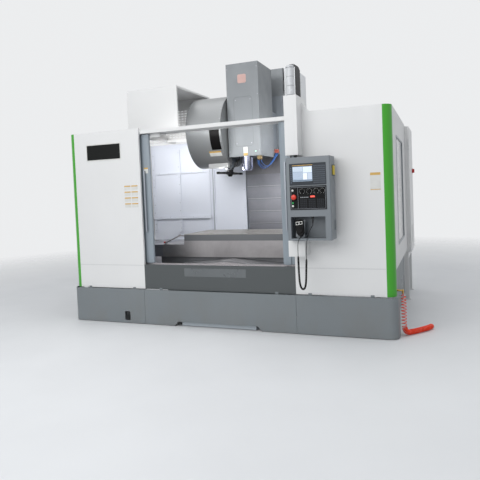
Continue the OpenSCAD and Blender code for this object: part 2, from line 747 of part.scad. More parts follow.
// White canopy over the left of the magazine, open to the right and below, with louvres in its back
module magazine_canopy() color("white") place() {
    y1 = canopy_front + canopy_d;
    r = 40;
    difference() {
        front_form(canopy_front, canopy_d) union() {
            round_rect([canopy_left, canopy_low + 60], [canopy_right + r, canopy_top], r);
            translate([canopy_left, canopy_low]) square([canopy_w, 200]);
        }
        front_form(canopy_front + sheet_t, canopy_d - 2 * sheet_t) union() {
            round_rect([canopy_left + sheet_t, canopy_low + 60], [canopy_right + 2 * r, canopy_top - sheet_t], r - sheet_t);
            translate([canopy_left + sheet_t, canopy_low - 1]) square([canopy_w, 200]);
        }
        block([canopy_right, canopy_front - 1, canopy_low - 1], [canopy_right + 3 * r, y1 + 1, canopy_top + 1]);
        for (i = [0:louvre_cols - 1], j = [0:louvre_rows - 1])
            front_form(y1 - sheet_t - 1, sheet_t + 2)
                round_rect([canopy_left + 66 + i * 60, canopy_low + 22 + j * 42],
                    [canopy_left + 104 + i * 60, canopy_low + 34 + j * 42], 5);
    }
    // Return flanges round the open side
    block([canopy_right - 3, canopy_front + sheet_t, canopy_low], [canopy_right, canopy_front + 28, canopy_top - sheet_t]);
    block([canopy_right - 3, canopy_front + 28, canopy_top - 26], [canopy_right, y1 - 28, canopy_top - sheet_t]);
    block([canopy_right - 3, y1 - 28, canopy_low], [canopy_right, y1 - sheet_t, canopy_top - sheet_t]);
    // Rails that carry the canopy from the side wall and the back wall
    block([-skin_x, canopy_front, enclosure_h], [canopy_right, canopy_front + 40, canopy_low]);
    block([canopy_left, canopy_front + 40, enclosure_h], [canopy_left + 40, enclosure_d + 36, canopy_low]);
    block([-skin_x, y1 - 40, enclosure_h], [canopy_left, y1, canopy_low]);
    block([canopy_left + 40, y1 - 40, enclosure_h], [canopy_right, y1, canopy_low]);
}

// Grey drum round the tool magazine
slot_y = 64;
// The right face of the drum is open from this far in front of its axis to the back
face_front = 145;
module magazine_cover() color("silver") place() {
    difference() {
        bar_x([drum_left, drum_y, drum_z], drum_r, drum_l, $fn = 180);
        bar_x([drum_left - 1, drum_y, drum_z], drum_r - 4, drum_l - 3, $fn = 180);
        intersection() {
            bar_x([drum_right - 5, drum_y, drum_z], drum_r - 70, 6);
            block([drum_right - 6, drum_y - face_front, drum_z - drum_r], [drum_right + 2, drum_y + drum_r, drum_z + drum_r]);
        }
        magazine_window_form(drum_r - 8, drum_r + 8, 0);
        block([drum_left + 20, pot_y - slot_y, drum_z - drum_r - 5], [pot_x + slot_y, pot_y + slot_y, drum_z - drum_r + 60]);
        bar_z([arm_x, arm_y, drum_z - drum_r - 5], 72, 80);
        block([-600, drum_y + 300, drum_z - 110], [-470, drum_y + drum_r + 10, drum_z + 110]);
    }
    difference() {
        bar_x([drum_left, drum_y, drum_z], drum_r - 4, 4, $fn = 180);
        bar_x([drum_left - 1, drum_y, drum_z], drum_r - 28, 6);
        block([drum_left - 1, pot_y - slot_y, drum_z - drum_r - 5], [drum_left + 5, pot_y + slot_y, drum_z - drum_r + 60]);
    }
    difference() {
        block([-592, drum_y - 250, 2040], [-278, drum_y - 190, 2110]);
        bar_x([-593, drum_y, drum_z], drum_r, 320, $fn = 180);
    }
}

// Magazine bracket on the column and the gearbox that drives the changer arm
module changer_gearbox() color("dimgray") place() {
    block([-570, 1560, enclosure_h - 4], [-col_half - 10 - seat, 2620, drum_z + 80]);
    block([-col_half - 60, 2300, drum_z - 180], [-col_half - 10 - seat, 2620, drum_z + 180]);
    bar_x([disc_x + disc_t + 4, drum_y, drum_z], 55, 100);
    bar_x([disc_x - 36, drum_y, drum_z], axle_r, 60);
    block([-560, drum_y - 130, drum_z - 80], [-col_half - 10 - seat, 1561, drum_z + 80]);
    difference() {
        block([-470, arm_y - 70, 2120], [-278, arm_y + 150, 2380]);
        bar_z([arm_x, arm_y, 2119], shaft_r + spindle_gap, 220);
    }
    block([-col_half - 10 - seat - 40, arm_y + 20, 2300], [-440, arm_y + 140, drum_z - 80]);
    block([-col_half - 50, arm_y + 20, 2340], [-460, arm_y + 140, 2380]);
    for (y = [1350, 1424])
        bar_x([-279, y, 2130], 9, 279 + drum_right - 4 - seat);
    difference() {
        bar_z([arm_x, arm_y, collar_z + 2], 60, 2121 - collar_z - 2);
        bar_z([arm_x, arm_y, collar_z + 1], shaft_r + spindle_gap, 122 - collar_z + 2000);
    }
    translate([-370, arm_y + 70, 2380]) servo(120, 190);
}

// Box that carries the operator panel, and the lower bracket with its pivot
module panel_supports() color("white") place() {
    difference() {
        union() {
            block([arm_box_x0, arm_box_y0, arm_box_z0], [arm_box_x1, skin_y - 1, arm_box_z1]);
            block([arm_box_x0, skin_y - 1, enclosure_h + seat], [arm_box_x1, arm_box_back, arm_box_z1]);
        }
        block([arm_box_x0 + 4, arm_box_y0 + 4, arm_box_z0 + 8], [arm_box_x1 - 4, skin_y, enclosure_h - 4]);
        block([arm_box_x0 + 4, arm_box_y0 + 4, enclosure_h - 5], [arm_box_x1 - 4, arm_box_back - 4, arm_box_z1 - 4]);
        bar_z([pivot_x, pivot_y, arm_box_z0 - 1], 15.05, 20);
    }
    front_form(skin_y + 10, 4) polygon([[arm_box_x1, enclosure_h + seat], [arm_box_x1 + 97, enclosure_h + seat],
        [arm_box_x1 + 60, enclosure_h + 36], [arm_box_x1, enclosure_h + 112]]);
    front_form(skin_y + 4, 6) translate([arm_box_x1 + 16, enclosure_h + 24]) circle(r = 9, $fn = 6);
    difference() {
        block([arm_box_x0, arm_box_y0, 925], [arm_box_x0 + 187, skin_y - 1, panel_z - 16]);
        block([arm_box_x0 + 4, arm_box_y0 + 4, 929], [arm_box_x0 + 183, skin_y, panel_z - 24]);
    }
    bar_z([pivot_x, pivot_y, panel_z - 24], 12, 36);
}

// Signal lamp on the arm box
module signal_lamp() color("lightgray") place() {
    x = (arm_box_x0 + arm_box_x1) / 2 - 5;
    bar_z([x, -95, arm_box_z1], 50, 14);
    for (i = [0:2]) {
        bar_z([x, -95, arm_box_z1 + 14 + i * 100], 45, 96);
        bar_z([x, -95, arm_box_z1 + 110 + i * 100], 41, 4);
    }
    bar_z([x, -95, arm_box_z1 + 314], 48, 14);
    bar_z([x, -95, arm_box_z1 + 328], 40, 10);
}

// Electrical cabinet with its stand
hinge_x = cabinet_x1 + run_gap + cabinet_door_t - 6;
hinge_y = cabinet_y0 - 5;
hinge_z = [cabinet_z0 + 200, cabinet_z1 - 300];
module cabinet_body() color("whitesmoke") place() {
    for (z = [cabinet_z0 + 300, cabinet_z1 - 200])
        block([wall_in + 4, enclosure_d + seat, z], [skin_x - 4, cabinet_y0, z + 60]);
    for (z = hinge_z) {
        block([cabinet_x1 - 12, hinge_y - 3, z - 24], [hinge_x, cabinet_y0, z - 2]);
        bar_z([hinge_x, hinge_y, z - 24], 6, 22);
        bar_z([hinge_x, hinge_y, z - 3], 3, 60);
    }
    difference() {
        block([cabinet_x0, cabinet_y0, cabinet_z0], [cabinet_x1, cabinet_y1, cabinet_z1]);
        block([cabinet_x0 + sheet_t, cabinet_y0 + 25, cabinet_z0 + 25],
            [cabinet_x1 + 1, cabinet_y1 - 25, cabinet_z1 - 25]);
    }
    block([cabinet_x0 + 40, cabinet_y0 + 60, cabinet_z0 + 80], [cabinet_x0 + 43, cabinet_y1 - 60, cabinet_z1 - 80]);
    for (z = [cabinet_z0 + 120, cabinet_z1 - 160], y = [cabinet_y0 + 100, cabinet_y1 - 140])
        block([cabinet_x0 + sheet_t, y, z], [cabinet_x0 + 40, y + 40, z + 40]);
    for (x = [cabinet_x0 + 20, cabinet_x1 - 80], y = [cabinet_y0 + 20, cabinet_y1 - 80]) {
        block([x, y, 12], [x + 60, y + 60, cabinet_z0]);
        block([x - 20, y - 20, 0], [x + 80, y + 80, 12]);
    }
    for (x = [cabinet_x0 + 20, cabinet_x1 - 80])
        block([x, cabinet_y0 + 80, cabinet_z0 - 100], [x + 60, cabinet_y1 - 80, cabinet_z0]);
}

// Saddle with its four shoes, cross guideways, feed screw and motor, and the covers that go with it
module saddle_casting() color("gray") place() {
    difference() {
        union() {
            block([-saddle_half, saddle_y0, saddle_z0], [saddle_half, saddle_y1, saddle_z1]);
            for (s = [-1, 1], x = [rail_x_in, rail_x_out])
                block([s * x - 70, saddle_y0, way_z + film], [s * x + 70, saddle_y1, saddle_z0]);
            for (y = [saddle_y0 + 60, saddle_y1 - 140])
                block([-saddle_half, y, saddle_z1], [saddle_half, y + 80, x_rail_z]);
        }
        block([-saddle_half - 1, screw_x_y - 62, saddle_z1 - 50], [saddle_half + 1, screw_x_y + 62, saddle_z1 + 1]);
        for (x = [-1060, -560, 160, 660], y = [saddle_y0 + 40, saddle_y1 - 260])
            block([x, y, saddle_z0 - 1], [x + 400, y + 220, saddle_z1 - 40]);
    }
    difference() {
        block([-60, screw_x_y - 80, screw_y_z - 55], [60, screw_x_y + 80, saddle_z0]);
        bar_y([0, screw_x_y - 81, screw_y_z], 25.5, 162);
    }
    for (s = [-1, 1])
        difference() {
            block([s * (saddle_half - 30) - 30, screw_x_y - 61, saddle_z1 - 50],
                [s * (saddle_half - 30) + 30, screw_x_y + 61, screw_x_z + 50]);
            bar_x([s * (saddle_half - 30) - 31, screw_x_y, screw_x_z], 20, 62);
        }
    bar_x([-saddle_half, screw_x_y, screw_x_z], 20, 2 * saddle_half);
    translate([saddle_half, screw_x_y, screw_x_z]) rotate([0, 90, 0]) servo(120, 250);
    // Outer boxes of the table cover, one at each end
    mirrored_x() {
        x_box(x_cover_end - x_box_l, 2);
        block([saddle_half, saddle_y0, 810], [x_cover_end, saddle_y0 + 40, 850]);
        block([saddle_half, saddle_y1 - 40, 810], [x_cover_end, saddle_y1, 850]);
        block([x_cover_end - 6, x_box_y0 + 2 * x_box_step, x_box_low],
            [x_cover_end, x_box_y1 - 2 * x_box_step, x_box_top - 2 * x_box_step]);
    }
    // Front roof cover and rear roof cover
    front_form(saddle_y0 - y_roof_l, y_roof_l) roof_outline(roof_half, y_roof_top, roof_side_z, roof_low_z, sheet_t);
    front_form(saddle_y1, 930) roof_outline(rear_roof_half, 705, 680, roof_low_z, sheet_t);
}

// One box of the table cover; a higher layer number nests inside a lower one
module x_box(x, layer) {
    y0 = x_box_y0 + layer * x_box_step;
    y1 = x_box_y1 - layer * x_box_step;
    top = x_box_top - layer * x_box_step;
    side_form(x, x_box_l) difference() {
        translate([y0, x_box_low]) square([y1 - y0, top - x_box_low]);
        translate([y0 + sheet_t, x_box_low - 1]) square([y1 - y0 - 2 * sheet_t, top - x_box_low + 1 - sheet_t]);
    }
}

// The lip at the outer end of a box, which wipes the box inside it
module x_wiper(x, layer) {
    y0 = x_box_y0 + layer * x_box_step;
    y1 = x_box_y1 - layer * x_box_step;
    top = x_box_top - layer * x_box_step;
    in = x_box_step - seat;
    side_form(x, 8) difference() {
        translate([y0, x_box_low]) square([y1 - y0, top - x_box_low]);
        translate([y0 + in, x_box_low - 1]) square([y1 - y0 - 2 * in, top - x_box_low + 1 - in]);
    }
}

// Middle boxes of the table cover: they move half as far as the table
x_left_in = table_x - leg_half;
x_right_in = table_x + leg_half;
x_mid_left = (x_left_in - x_box_l - x_cover_end) / 2;
x_mid_right = (x_right_in + x_cover_end - x_box_l) / 2;
module x_covers_middle() color("dimgray") place() {
    x_box(x_mid_left, 1);
    x_box(x_mid_right, 1);
    x_wiper(x_mid_left, 1);
    x_wiper(x_mid_right + x_box_l - 8, 1);
}

// Table with T-slots and the legs that ride on the saddle
module t_slot(y) {
    block([-table_w / 2 - 1, y - t_slot_w / 2, table_z - 36], [table_w / 2 + 1, y + t_slot_w / 2, table_z + 1]);
    block([-table_w / 2 - 1, y - t_slot_w * 0.84, table_z - 36],
        [table_w / 2 + 1, y + t_slot_w * 0.84, table_z - 36 + t_slot_w * 0.72]);
}

module work_table() color("silver") place() translate([table_x, 0, 0]) {
    difference() {
        block([-table_w / 2, table_front, x_leg_z], [table_w / 2, table_front + table_d, table_z]);
        for (i = [0:t_slots - 1])
            t_slot(table_front + table_d / 2 + (i - (t_slots - 1) / 2) * t_slot_pitch);
        for (x = [-table_w / 2 + 60 : 400 : table_w / 2 - 300], y = [table_front + 210, table_front + table_d - 390])
            block([x, y, x_leg_z - 1], [x + 340, y + 180, x_leg_z + 50]);
    }
    for (y = [saddle_y0 + 40, saddle_y1 - 160])
        block([-leg_half + leg_clear, y, x_rail_z + film], [leg_half - leg_clear, y + 120, x_leg_z]);
    difference() {
        block([-70, screw_x_y - 50, screw_x_z - 44], [70, screw_x_y + 50, x_leg_z]);
        bar_x([-71, screw_x_y, screw_x_z], 20.5, 142);
    }
}

// Guard plate along the table's front, the cover boxes fixed to the table and the pull rod at its left end
module table_guard() color("gray") place() {
    x0 = table_x - table_w / 2;
    x1 = table_x + table_w / 2;
    block([x0, table_front - 13, x_box_low - 2], [x1, table_front - 10, table_z - 90]);
    block([x0, table_front - 10, table_z - 102], [x1, table_front, table_z - 90]);
    for (i = [0:5])
        bar_y([x0 + 120 + i * 292, table_front - 17, table_z - 100], 8, 4, $fn = 6);
    x_box(x_left_in - x_box_l, 0);
    x_box(x_right_in, 0);
    x_wiper(x_left_in - x_box_l, 0);
    x_wiper(x_right_in + x_box_l - 8, 0);
    for (x = [x_left_in, x_right_in - leg_clear])
        block([x, x_box_y0, x_rail_z + 2], [x + leg_clear, x_box_y1, x_box_top]);
    // Pull rod from the table's end down to the cover
    elbow = [x0 - 92, table_front + 40, table_z - 19];
    foot = [x0 - 316, table_front + 40, x_box_top + 20];
    block([x0 - 12, table_front + 20, table_z - 44], [x0, table_front + 60, table_z - 8]);
    rod([x0 - 1, table_front + 40, table_z - 24], elbow, 9);
    bar_y(elbow - [0, 14, 0], 13, 28);
    rod(elbow, foot, 9);
    bar_z([foot[0], foot[1], x_box_top], 14, 34);
}

// Middle front roof cover
module y_cover_middle() color("lightgray") place()
    front_form((roof_front + saddle_y0 - y_roof_l) / 2, y_roof_l)
        roof_outline(roof_half - roof_step, y_roof_top - roof_step, roof_side_z - roof_step, roof_low_z, sheet_t);

// Moving plates of the column cover, from the top down
module z_cover_1() color("gray") place() z_plate(1);
module z_cover_2() color("gray") place() z_plate(2);
module z_cover_3() color("gray") place() z_plate(3);
module z_cover_4() color("gray") place() z_plate(4);
module z_cover_5() color("gray") place() z_plate(5);

// Head casting with its slide, nut bracket, spindle motor and the top cover plate
nozzle_x = [196, 230];
module head_casting() color("gainsboro") place() {
    cover_in = head_w / 2 - sheet_t;
    yb = head_front + head_d;
    difference() {
        union() {
            block([-cover_in, head_front + sheet_t, head_z + 5], [cover_in, yb, head_z + 55]);
            block([-200, head_front + 35, head_z + 55], [200, yb, head_z + 600]);
            block([-230, yb, slide_z0], [230, slide_front, head_z + 700]);
            block([-slide_half, slide_front, slide_z0], [slide_half, slide_back, slide_z1]);
        }
        bar_z([0, spindle_y, head_z], cartridge_d / 2 + spindle_gap, 620);
        block([-150, yb - 200, head_z + 120], [150, yb - 40, head_z + 601]);
        block([-140, 2110, slide_z0 + 250], [140, slide_back + 1, slide_z1 - 150]);
    }
    difference() {
        block([-70, 2109, slide_z0 + 330], [70, screw_z_y + 40, slide_z0 + 470]);
        bar_z([0, screw_z_y, slide_z0 + 329], 25.5, 142);
    }
    translate([0, yb - 120, head_z + 600]) servo(240, 420);
    // Coolant block under the front right corner, with two nozzles
    block([178, 1240, head_z - 45], [238, 1290, head_z + 5.5]);
    for (x = nozzle_x)
        bar_z([x, 1262, head_z - 63], 8, 18);
    // Ports of the air lines on the casting's right side
    block([230, 1900, slide_z0 + 10], [285, 1960, slide_z0 + 60]);
    z_plate(0);
    block([-z_cover_half_w + 1, z_cover_y, slide_z0 - 61], [z_cover_half_w - 1, z_cover_y + 2, slide_z0]);
    block([-z_cover_half_w + 40, z_cover_y - 20, slide_z0 - 4], [z_cover_half_w - 40, z_cover_y + 2, slide_z0]);
}

// Sheet cover of the head and the guard that closes the column above it
module head_cover() color("silver") place() {
    x1 = head_w / 2;
    yb = head_front + head_d;
    difference() {
        front_form(head_front, head_d) translate([-x1, head_z]) square([head_w, head_h]);
        block([-x1 + sheet_t, head_front + sheet_t, head_z - 1], [x1 - sheet_t, yb + 1, head_z + head_h - sheet_t]);
        front_form(head_front - 1, 2) difference() {
            round_rect([-158, head_z + 400], [142, head_z + 842], 20);
            round_rect([-155, head_z + 403], [139, head_z + 839], 18);
        }
    }
    block([-slide_half - 5, z_cover_y - 5, slide_z1], [slide_half + 5, z_cover_y - 2, column_top - 10]);
    block([-slide_half - 5, z_cover_y - 2, column_top - 13], [slide_half + 5, z_cover_y + 24, column_top - 10]);
}

// Spindle cartridge: the bright cylinder under the head
module spindle_housing() color("white") place() difference() {
    union() {
        bar_z([0, spindle_y, nose_z + 16], cartridge_d / 2, head_z - nose_z - 16 - 12);
        bar_z([0, spindle_y, head_z - 12], cartridge_d / 2 + 6, 17);
        bar_z([0, spindle_y, head_z + 5], cartridge_d / 2, 300);
    }
    bar_z([0, spindle_y, nose_z + 15], 55 + spindle_gap, 520);
    translate([0, spindle_y, nose_z + 40]) rotate_extrude() polygon([[cartridge_d / 2 - 3, 0],
        [cartridge_d / 2 + 1, 0], [cartridge_d / 2 + 1, 4], [cartridge_d / 2 - 3, 4]]);
}

// Spindle with its taper and drive keys
module spindle() color("gainsboro") place() {
    translate([0, spindle_y, nose_z]) rotate_extrude() polygon([[35, 0], [nose_d / 2 - 2, 0], [nose_d / 2, 2],
        [nose_d / 2, 15.7], [55, 15.7], [55, 440], [0, 440], [0, 110], [20, 102]]);
    for (s = [-1, 1])
        block([s * 48 - 12, spindle_y - 12, nose_z - 3], [s * 48 + 12, spindle_y + 12, nose_z]);
}

// Blue air lines from the coolant block to the casting
module coolant_lines() color("royalblue") place() {
    tube(blue_line_a, line_d, 8, [1, 0, 0]);
    tube(blue_line_b, line_d, 8, [1, 0, 0]);
}

// Carousel with its tool pots, all but the one at the change station
module tool_pot(l) difference() {
    bar_x([-l, 0, 0], pot_d / 2, l);
    bar_x([-l - 1, 0, 0], pot_d / 2 - 14, l - 20);
}

module tool_carousel() color("gray") place() translate([0, drum_y, drum_z]) {
    difference() {
        bar_x([disc_x, 0, 0], pot_circle_r + 30, disc_t, $fn = 120);
        bar_x([disc_x - 1, 0, 0], 40, disc_t + 2);
        for (a = [0:60:300])
            rotate([a, 0, 0]) bar_x([disc_x - 1, 0, 230], 75, disc_t + 2);
        block([disc_x - 1, -49, -pot_circle_r - 40], [disc_x + disc_t + 1, 49, -pot_circle_r + 70]);
    }
    difference() {
        bar_x([disc_x - 40, 0, 0], 100, 40);
        bar_x([disc_x - 41, 0, 0], 40, 42);
    }
    for (k = [1:tool_pots - 1])
        rotate([k * 360 / tool_pots, 0, 0]) translate([disc_x + 4, 0, -pot_circle_r]) tool_pot(pot_l);
    for (s = [-1, 1])
        difference() {
            block([pot_x - 14, s * 56 - 6, -pot_circle_r - 14], [disc_x + 4, s * 56 + 6, -pot_circle_r + 14]);
            bar_y([pot_x, s * 56 - 7, -pot_circle_r], pot_pin_r + spindle_gap, 14);
        }
}

// The pot at the change station, which swings down
module change_pot() color("gray") place() translate([pot_x, pot_y, pot_z]) {
    tool_pot(pot_l);
    bar_x([-1, 0, 0], pot_d / 2, 7);
    bar_y([0, -62, 0], pot_pin_r, 124);
}

// Shaft that lowers the changer arm, with the collar that the arm turns under
module arm_shaft() color("dimgray") place() translate([arm_x, arm_y, 0]) {
    bar_z([0, 0, collar_z - 12], 46, 12);
    bar_z([0, 0, collar_z - 1], shaft_r, arm_stroke + 180);
    bar_z([0, 0, arm_z + 6], 20, collar_z - arm_z - 10);
}

// Changer arm with a gripper at each end
module change_arm() color("black") place() translate([arm_x, arm_y, arm_z]) {
    difference() {
        linear_extrude(arm_t) difference() {
            union() {
                translate([-38, -arm_r]) square([76, 2 * arm_r]);
                circle(r = 62);
                for (s = [-1, 1])
                    translate([0, s * arm_r]) circle(r = claw_r);
            }
            for (s = [-1, 1])
                translate([0, s * arm_r]) circle(r = 50);
            for (a = [0, 180])
                rotate(a) translate([-92, arm_r - 44]) square([90, 140]);
            circle(r = 20 + spindle_gap);
        }
        for (s = [-1, 1])
            block([-24, s * 150 - 70, arm_t - 6], [24, s * 150 + 70, arm_t + 1]);
    }
    translate([0, 0, -34]) cylinder(r1 = 24, r2 = 46, h = 35);
    difference() {
        translate([0, 0, arm_t - 1]) cylinder(r = 50, h = 27);
        translate([0, 0, arm_t - 2]) cylinder(r = 20 + spindle_gap, h = 30);
    }
}

// Sliding door leaves; the same form serves both sides
win_w = 600;
win_h = 1060;
door_y0 = 108;
door_z0 = 796;
module door_handle(x) {
    z0 = 1200;
    h = door_handle_l;
    for (z = [z0 + 14, z0 + h - 14])
        bar_y([x, 74, z], 8, 22);
    side_form(x - 8, 16) difference() {
        polygon([[66, z0 + 14], [68, z0], [82, z0], [82, z0 + 30], [78, z0 + 90], [76, z0 + h / 2],
            [78, z0 + h - 90], [82, z0 + h - 30], [82, z0 + h], [68, z0 + h], [66, z0 + h - 14], [62, z0 + h / 2]]);
    }
}

module door_leaf() {
    difference() {
        block([-door_w, door_y0, door_z0], [-2, door_y0 + door_t, door_top]);
        block([-door_w + 3, door_y0 + 3, door_z0 + 20], [-door_post_w + 3, door_y0 + door_t + 1, door_top - 20]);
        front_form(door_y0 - 1, 6) round_rect([-door_post_w - 120 - win_w, 1180], [-door_post_w - 120, 1180 + win_h], 30);
    }
    difference() {
        front_form(door_y0 + 3, door_t - 3) round_rect([-door_post_w - 150 - win_w, 1150],
            [-door_post_w - 90, 1210 + win_h], 40);
        front_form(door_y0 + 2, door_t) round_rect([-door_post_w - 120 - win_w, 1180],
            [-door_post_w - 120, 1180 + win_h], 30);
    }
    translate([0, 0, door_z0]) linear_extrude(door_top - door_z0) polygon([[-door_post_w, door_y0],
        [-door_post_w, door_y0 - 12], [-34, door_y0 - 12], [-2, door_y0], [-2, door_y0 + 1], [-door_post_w, door_y0 + 1]]);
    door_handle(-68);
    for (x = [-door_w + 90, -90]) {
        block([x - 30, track_y + 8, door_top - 20], [x + 30, track_y + 13, track_top + 26]);
        bar_y([x, track_y - 6, track_top + 14 + film], 14, 19);
    }
    for (x = [-door_w + 60, -60], s = [-1, 1])
        block([x - 30, track_y + s * 9 - 3, door_z0 - 9], [x + 30, track_y + s * 9 + 3, door_z0]);
}

module door_pane() front_form(door_y0 + 12, 6) round_rect([-door_post_w - 120 - win_w, 1180],
    [-door_post_w - 120, 1180 + win_h], 30);

module door_left() color("slategray") place() translate([door_left_x, 0, 0]) door_leaf();
module door_right() color("slategray") place() translate([door_right_x, 0, 0]) mirror([1, 0, 0]) door_leaf();
module door_window_left() color([0.6, 0.7, 0.75]) place() translate([door_left_x, 0, 0]) door_pane();
module door_window_right() color([0.6, 0.7, 0.75]) place() translate([door_right_x, 0, 0]) mirror([1, 0, 0]) door_pane();

// Operator panel: housing with the pendant recess, gland, pendant rest, side port and latch
port_y0 = -190;
port_z0 = 1806;
module panel_housing() color("slategray") place() {
    x1 = panel_x + panel_w;
    z1 = panel_z + panel_h;
    difference() {
        translate([0, 0, panel_z]) linear_extrude(panel_h) round_rect([panel_x, panel_front], [x1, panel_back], 12);
        block([panel_x + sheet_t, panel_front + 30, recess_z1 + sheet_t], [x1 - sheet_t, panel_back - sheet_t, z1 - sheet_t]);
        block([recess_x0, panel_front - 1, recess_z0], [recess_x1, panel_front + recess_d, recess_z1]);
        block([plate_x0, panel_front - 1, unit_z0], [plate_x1, panel_front + 31, unit_z1]);
        block([plate_x0, panel_front - 1, keys_z0], [plate_x1, panel_front + 31, keys_z1]);
        block([x1 - 8, -161, 1219], [x1 + 1, -89, 1327]);
        block([x1 - 4, port_y0 + 12, port_z0 + 12], [x1 + 1, port_y0 + 78, port_z0 + 107]);
        bar_z([pivot_x, pivot_y, panel_z - 1], 12.05, 16);
    }
    // Swivel neck and pin into the arm box
    bar_z([pivot_x, pivot_y, z1], 38, arm_box_z0 - z1 - 1);
    bar_z([pivot_x, pivot_y, arm_box_z0 - 1], 15, 17);
    // Hinge ears of the port lid
    for (z = [port_z0, port_z0 + 109])
        difference() {
            union() {
                block([x1 - 1, port_y0 - 2, z], [x1 + 7, port_y0 + 12, z + 10]);
                bar_z([x1 + 7, port_y0 + 5, z], 7, 10);
            }
            bar_z([x1 + 7, port_y0 + 5, z - 1], 3.05, 12);
        }
    // Gland of the pendant cord
    bar_z([1306, -240, recess_z1 - 24], 14, 24);
    bar_z([1306, -240, recess_z1 - 60], 8, 36);
    // Sloping rest for the pendant
    translate([pendant_x, pendant_y, pendant_z]) rotate([pendant_tilt, 0, 0])
        block([-50, pendant_t / 2 + seat, -92], [50, pendant_t / 2 + seat + 8, 92]);
    block([pendant_x - 40, pendant_y + 8, recess_z0 - 1], [pendant_x + 40, panel_front + recess_d + 1, recess_z0 + 30]);
}

// Control unit with its screen and keys
module cnc_unit() color("dimgray") place() {
    difference() {
        front_form(panel_front - 4, 34) round_rect([plate_x0 + seat, unit_z0 + seat], [plate_x1 - seat, unit_z1 - seat], 6);
        block([1115, panel_front - 5, 1756], [1332, panel_front - 1, 1918]);
    }
    for (i = [0:9], j = [0:8])
        block([1344 + i * 13, panel_front - 6, 1732 + j * 22], [1354 + i * 13, panel_front - 4, 1747 + j * 22]);
    for (i = [0:7])
        block([1092, panel_front - 6, 1740 + i * 22], [1106, panel_front - 4, 1755 + i * 22]);
}

// Operator plate with its keys, and the holes for the knobs and buttons
module operator_plate() color([0.1, 0.1, 0.1]) place() {
    difference() {
        front_form(key_face, 33) round_rect([plate_x0 + seat, keys_z0 + seat], [plate_x1 - seat, keys_z1 - seat], 8);
        for (x = knob_x)
            bar_y([x, key_face - 1, knob_z], 4 + button_gap, 20);
        bar_y([stop_pos[0], key_face - 1, stop_pos[1]], 11 + button_gap, 30);
        for (p = [light_pos, start_pos, hold_pos])
            bar_y([p[0], key_face - 1, p[1]], push_d / 2 + button_gap, 30);
        block([1302, key_face - 1, 1582], [1352, key_face + 2, 1602]);
    }
    for (b = [0:2], i = [0:3], j = [0:4])
        block([1190 + b * 92 + i * 20, key_face - 1.5, 1470 + j * 20], [1206 + b * 92 + i * 20, key_face, 1486 + j * 20]);
    for (i = [0:4])
        block([1192 + i * 19, key_face - 1.5, 1580], [1206 + i * 19, key_face, 1590]);
}

// Mushroom head of the emergency stop
module emergency_stop() color("red") place() translate([stop_pos[0], key_face, stop_pos[1]]) rotate([90, 0, 0]) {
    translate([0, 0, push_travel + 2]) rotate_extrude() polygon([[0, 0], [16, 0], [stop_d / 2 - 2, 12],
        [stop_d / 2, 16], [stop_d / 2, 24], [stop_d / 2 - 3, 29], [stop_d / 2 - 9, 33], [0, 36]]);
    translate([0, 0, -14]) cylinder(r = 11, h = 16 + push_travel);
}

module push_button(p) translate([p[0], key_face, p[1]]) rotate([90, 0, 0]) {
    translate([0, 0, -12]) cylinder(r = push_d / 2, h = 12 + push_travel + 2);
    translate([0, 0, push_travel + 2]) cylinder(r1 = push_d / 2, r2 = push_d / 2 - 1.5, h = 1.5);
}

module button_light() color("white") place() push_button(light_pos);
module button_start() color("green") place() push_button(start_pos);
module button_hold() color("white") place() push_button(hold_pos);

module knob(i) translate([knob_x[i], key_face, knob_z]) rotate([90, 0, 0]) {
    translate([0, 0, -12]) cylinder(r = 4, h = 14);
    difference() {
        translate([0, 0, 1]) cylinder(r1 = knob_d / 2, r2 = knob_d / 2 - 4, h = 14);
        for (s = [-1, 1])
            translate([s * knob_d / 2, 0, 10]) rotate([0, 0, 0]) cube([knob_d / 2 + 6, knob_d + 2, 14], center = true);
    }
    translate([-1, knob_d / 2 - 12, 15]) cube([2, 8, 0.8]);
}

module knob_1() color("black") place() knob(0);
module knob_2() color("black") place() knob(1);
module knob_3() color("black") place() knob(2);
module knob_4() color("black") place() knob(3);

// Sprung lid over the data port
module port_lid() color("gold") place() {
    x1 = panel_x + panel_w;
    block([x1 + seat, port_y0 + 13, port_z0], [x1 + 14, port_y0 + 90, port_z0 + 119]);
    bar_z([x1 + 7, port_y0 + 5, port_z0 + 1], 3, 117);
    block([x1 + 3, port_y0 + 5, port_z0 + 11], [x1 + 11, port_y0 + 14, port_z0 + 108]);
}

// Pendant with the hand wheel, in its own tilted frame
module pendant_place() translate([pendant_x, pendant_y, pendant_z]) rotate([pendant_tilt, 0, 0])
    rotate([0, pendant_lean, 0]) children();

module pendant_body() color("black") place() pendant_place() {
    difference() {
        front_form(-pendant_t / 2, pendant_t) union() {
            round_rect([-pendant_w / 2, -pendant_h / 2 + 20], [pendant_w / 2, pendant_h / 2], 20);
            round_rect([-pendant_w / 2 + 12, -pendant_h / 2], [pendant_w / 2 - 12, 0], 24);
        }
        for (x = [-19, 19])
            bar_y([x, -pendant_t / 2 - 1, 50], 4.3, 16);
        bar_y([0, -pendant_t / 2 - 1, -30], 8.3, 20);
    }
    bar_z([0, 0, -pendant_h / 2 - 8], 8, 9);
}

module pendant_dial() color([0.15, 0.15, 0.15]) place() pendant_place() {
    bar_y([0, -pendant_t / 2 - 14, -30], 31, 13);
    bar_y([0, -pendant_t / 2 - 2, -30], 8, 16);
    bar_y([14, -pendant_t / 2 - 24, -16], 6, 11);
}

module pendant_selector(x) pendant_place() {
    bar_y([x, -pendant_t / 2 - 12, 50], 12, 11);
    bar_y([x, -pendant_t / 2 - 2, 50], 4, 12);
    translate([x, -pendant_t / 2 - 15, 50]) cube([5, 6, 22], center = true);
}

module axis_selector() color("black") place() pendant_selector(-19);
module step_selector() color("black") place() pendant_selector(19);

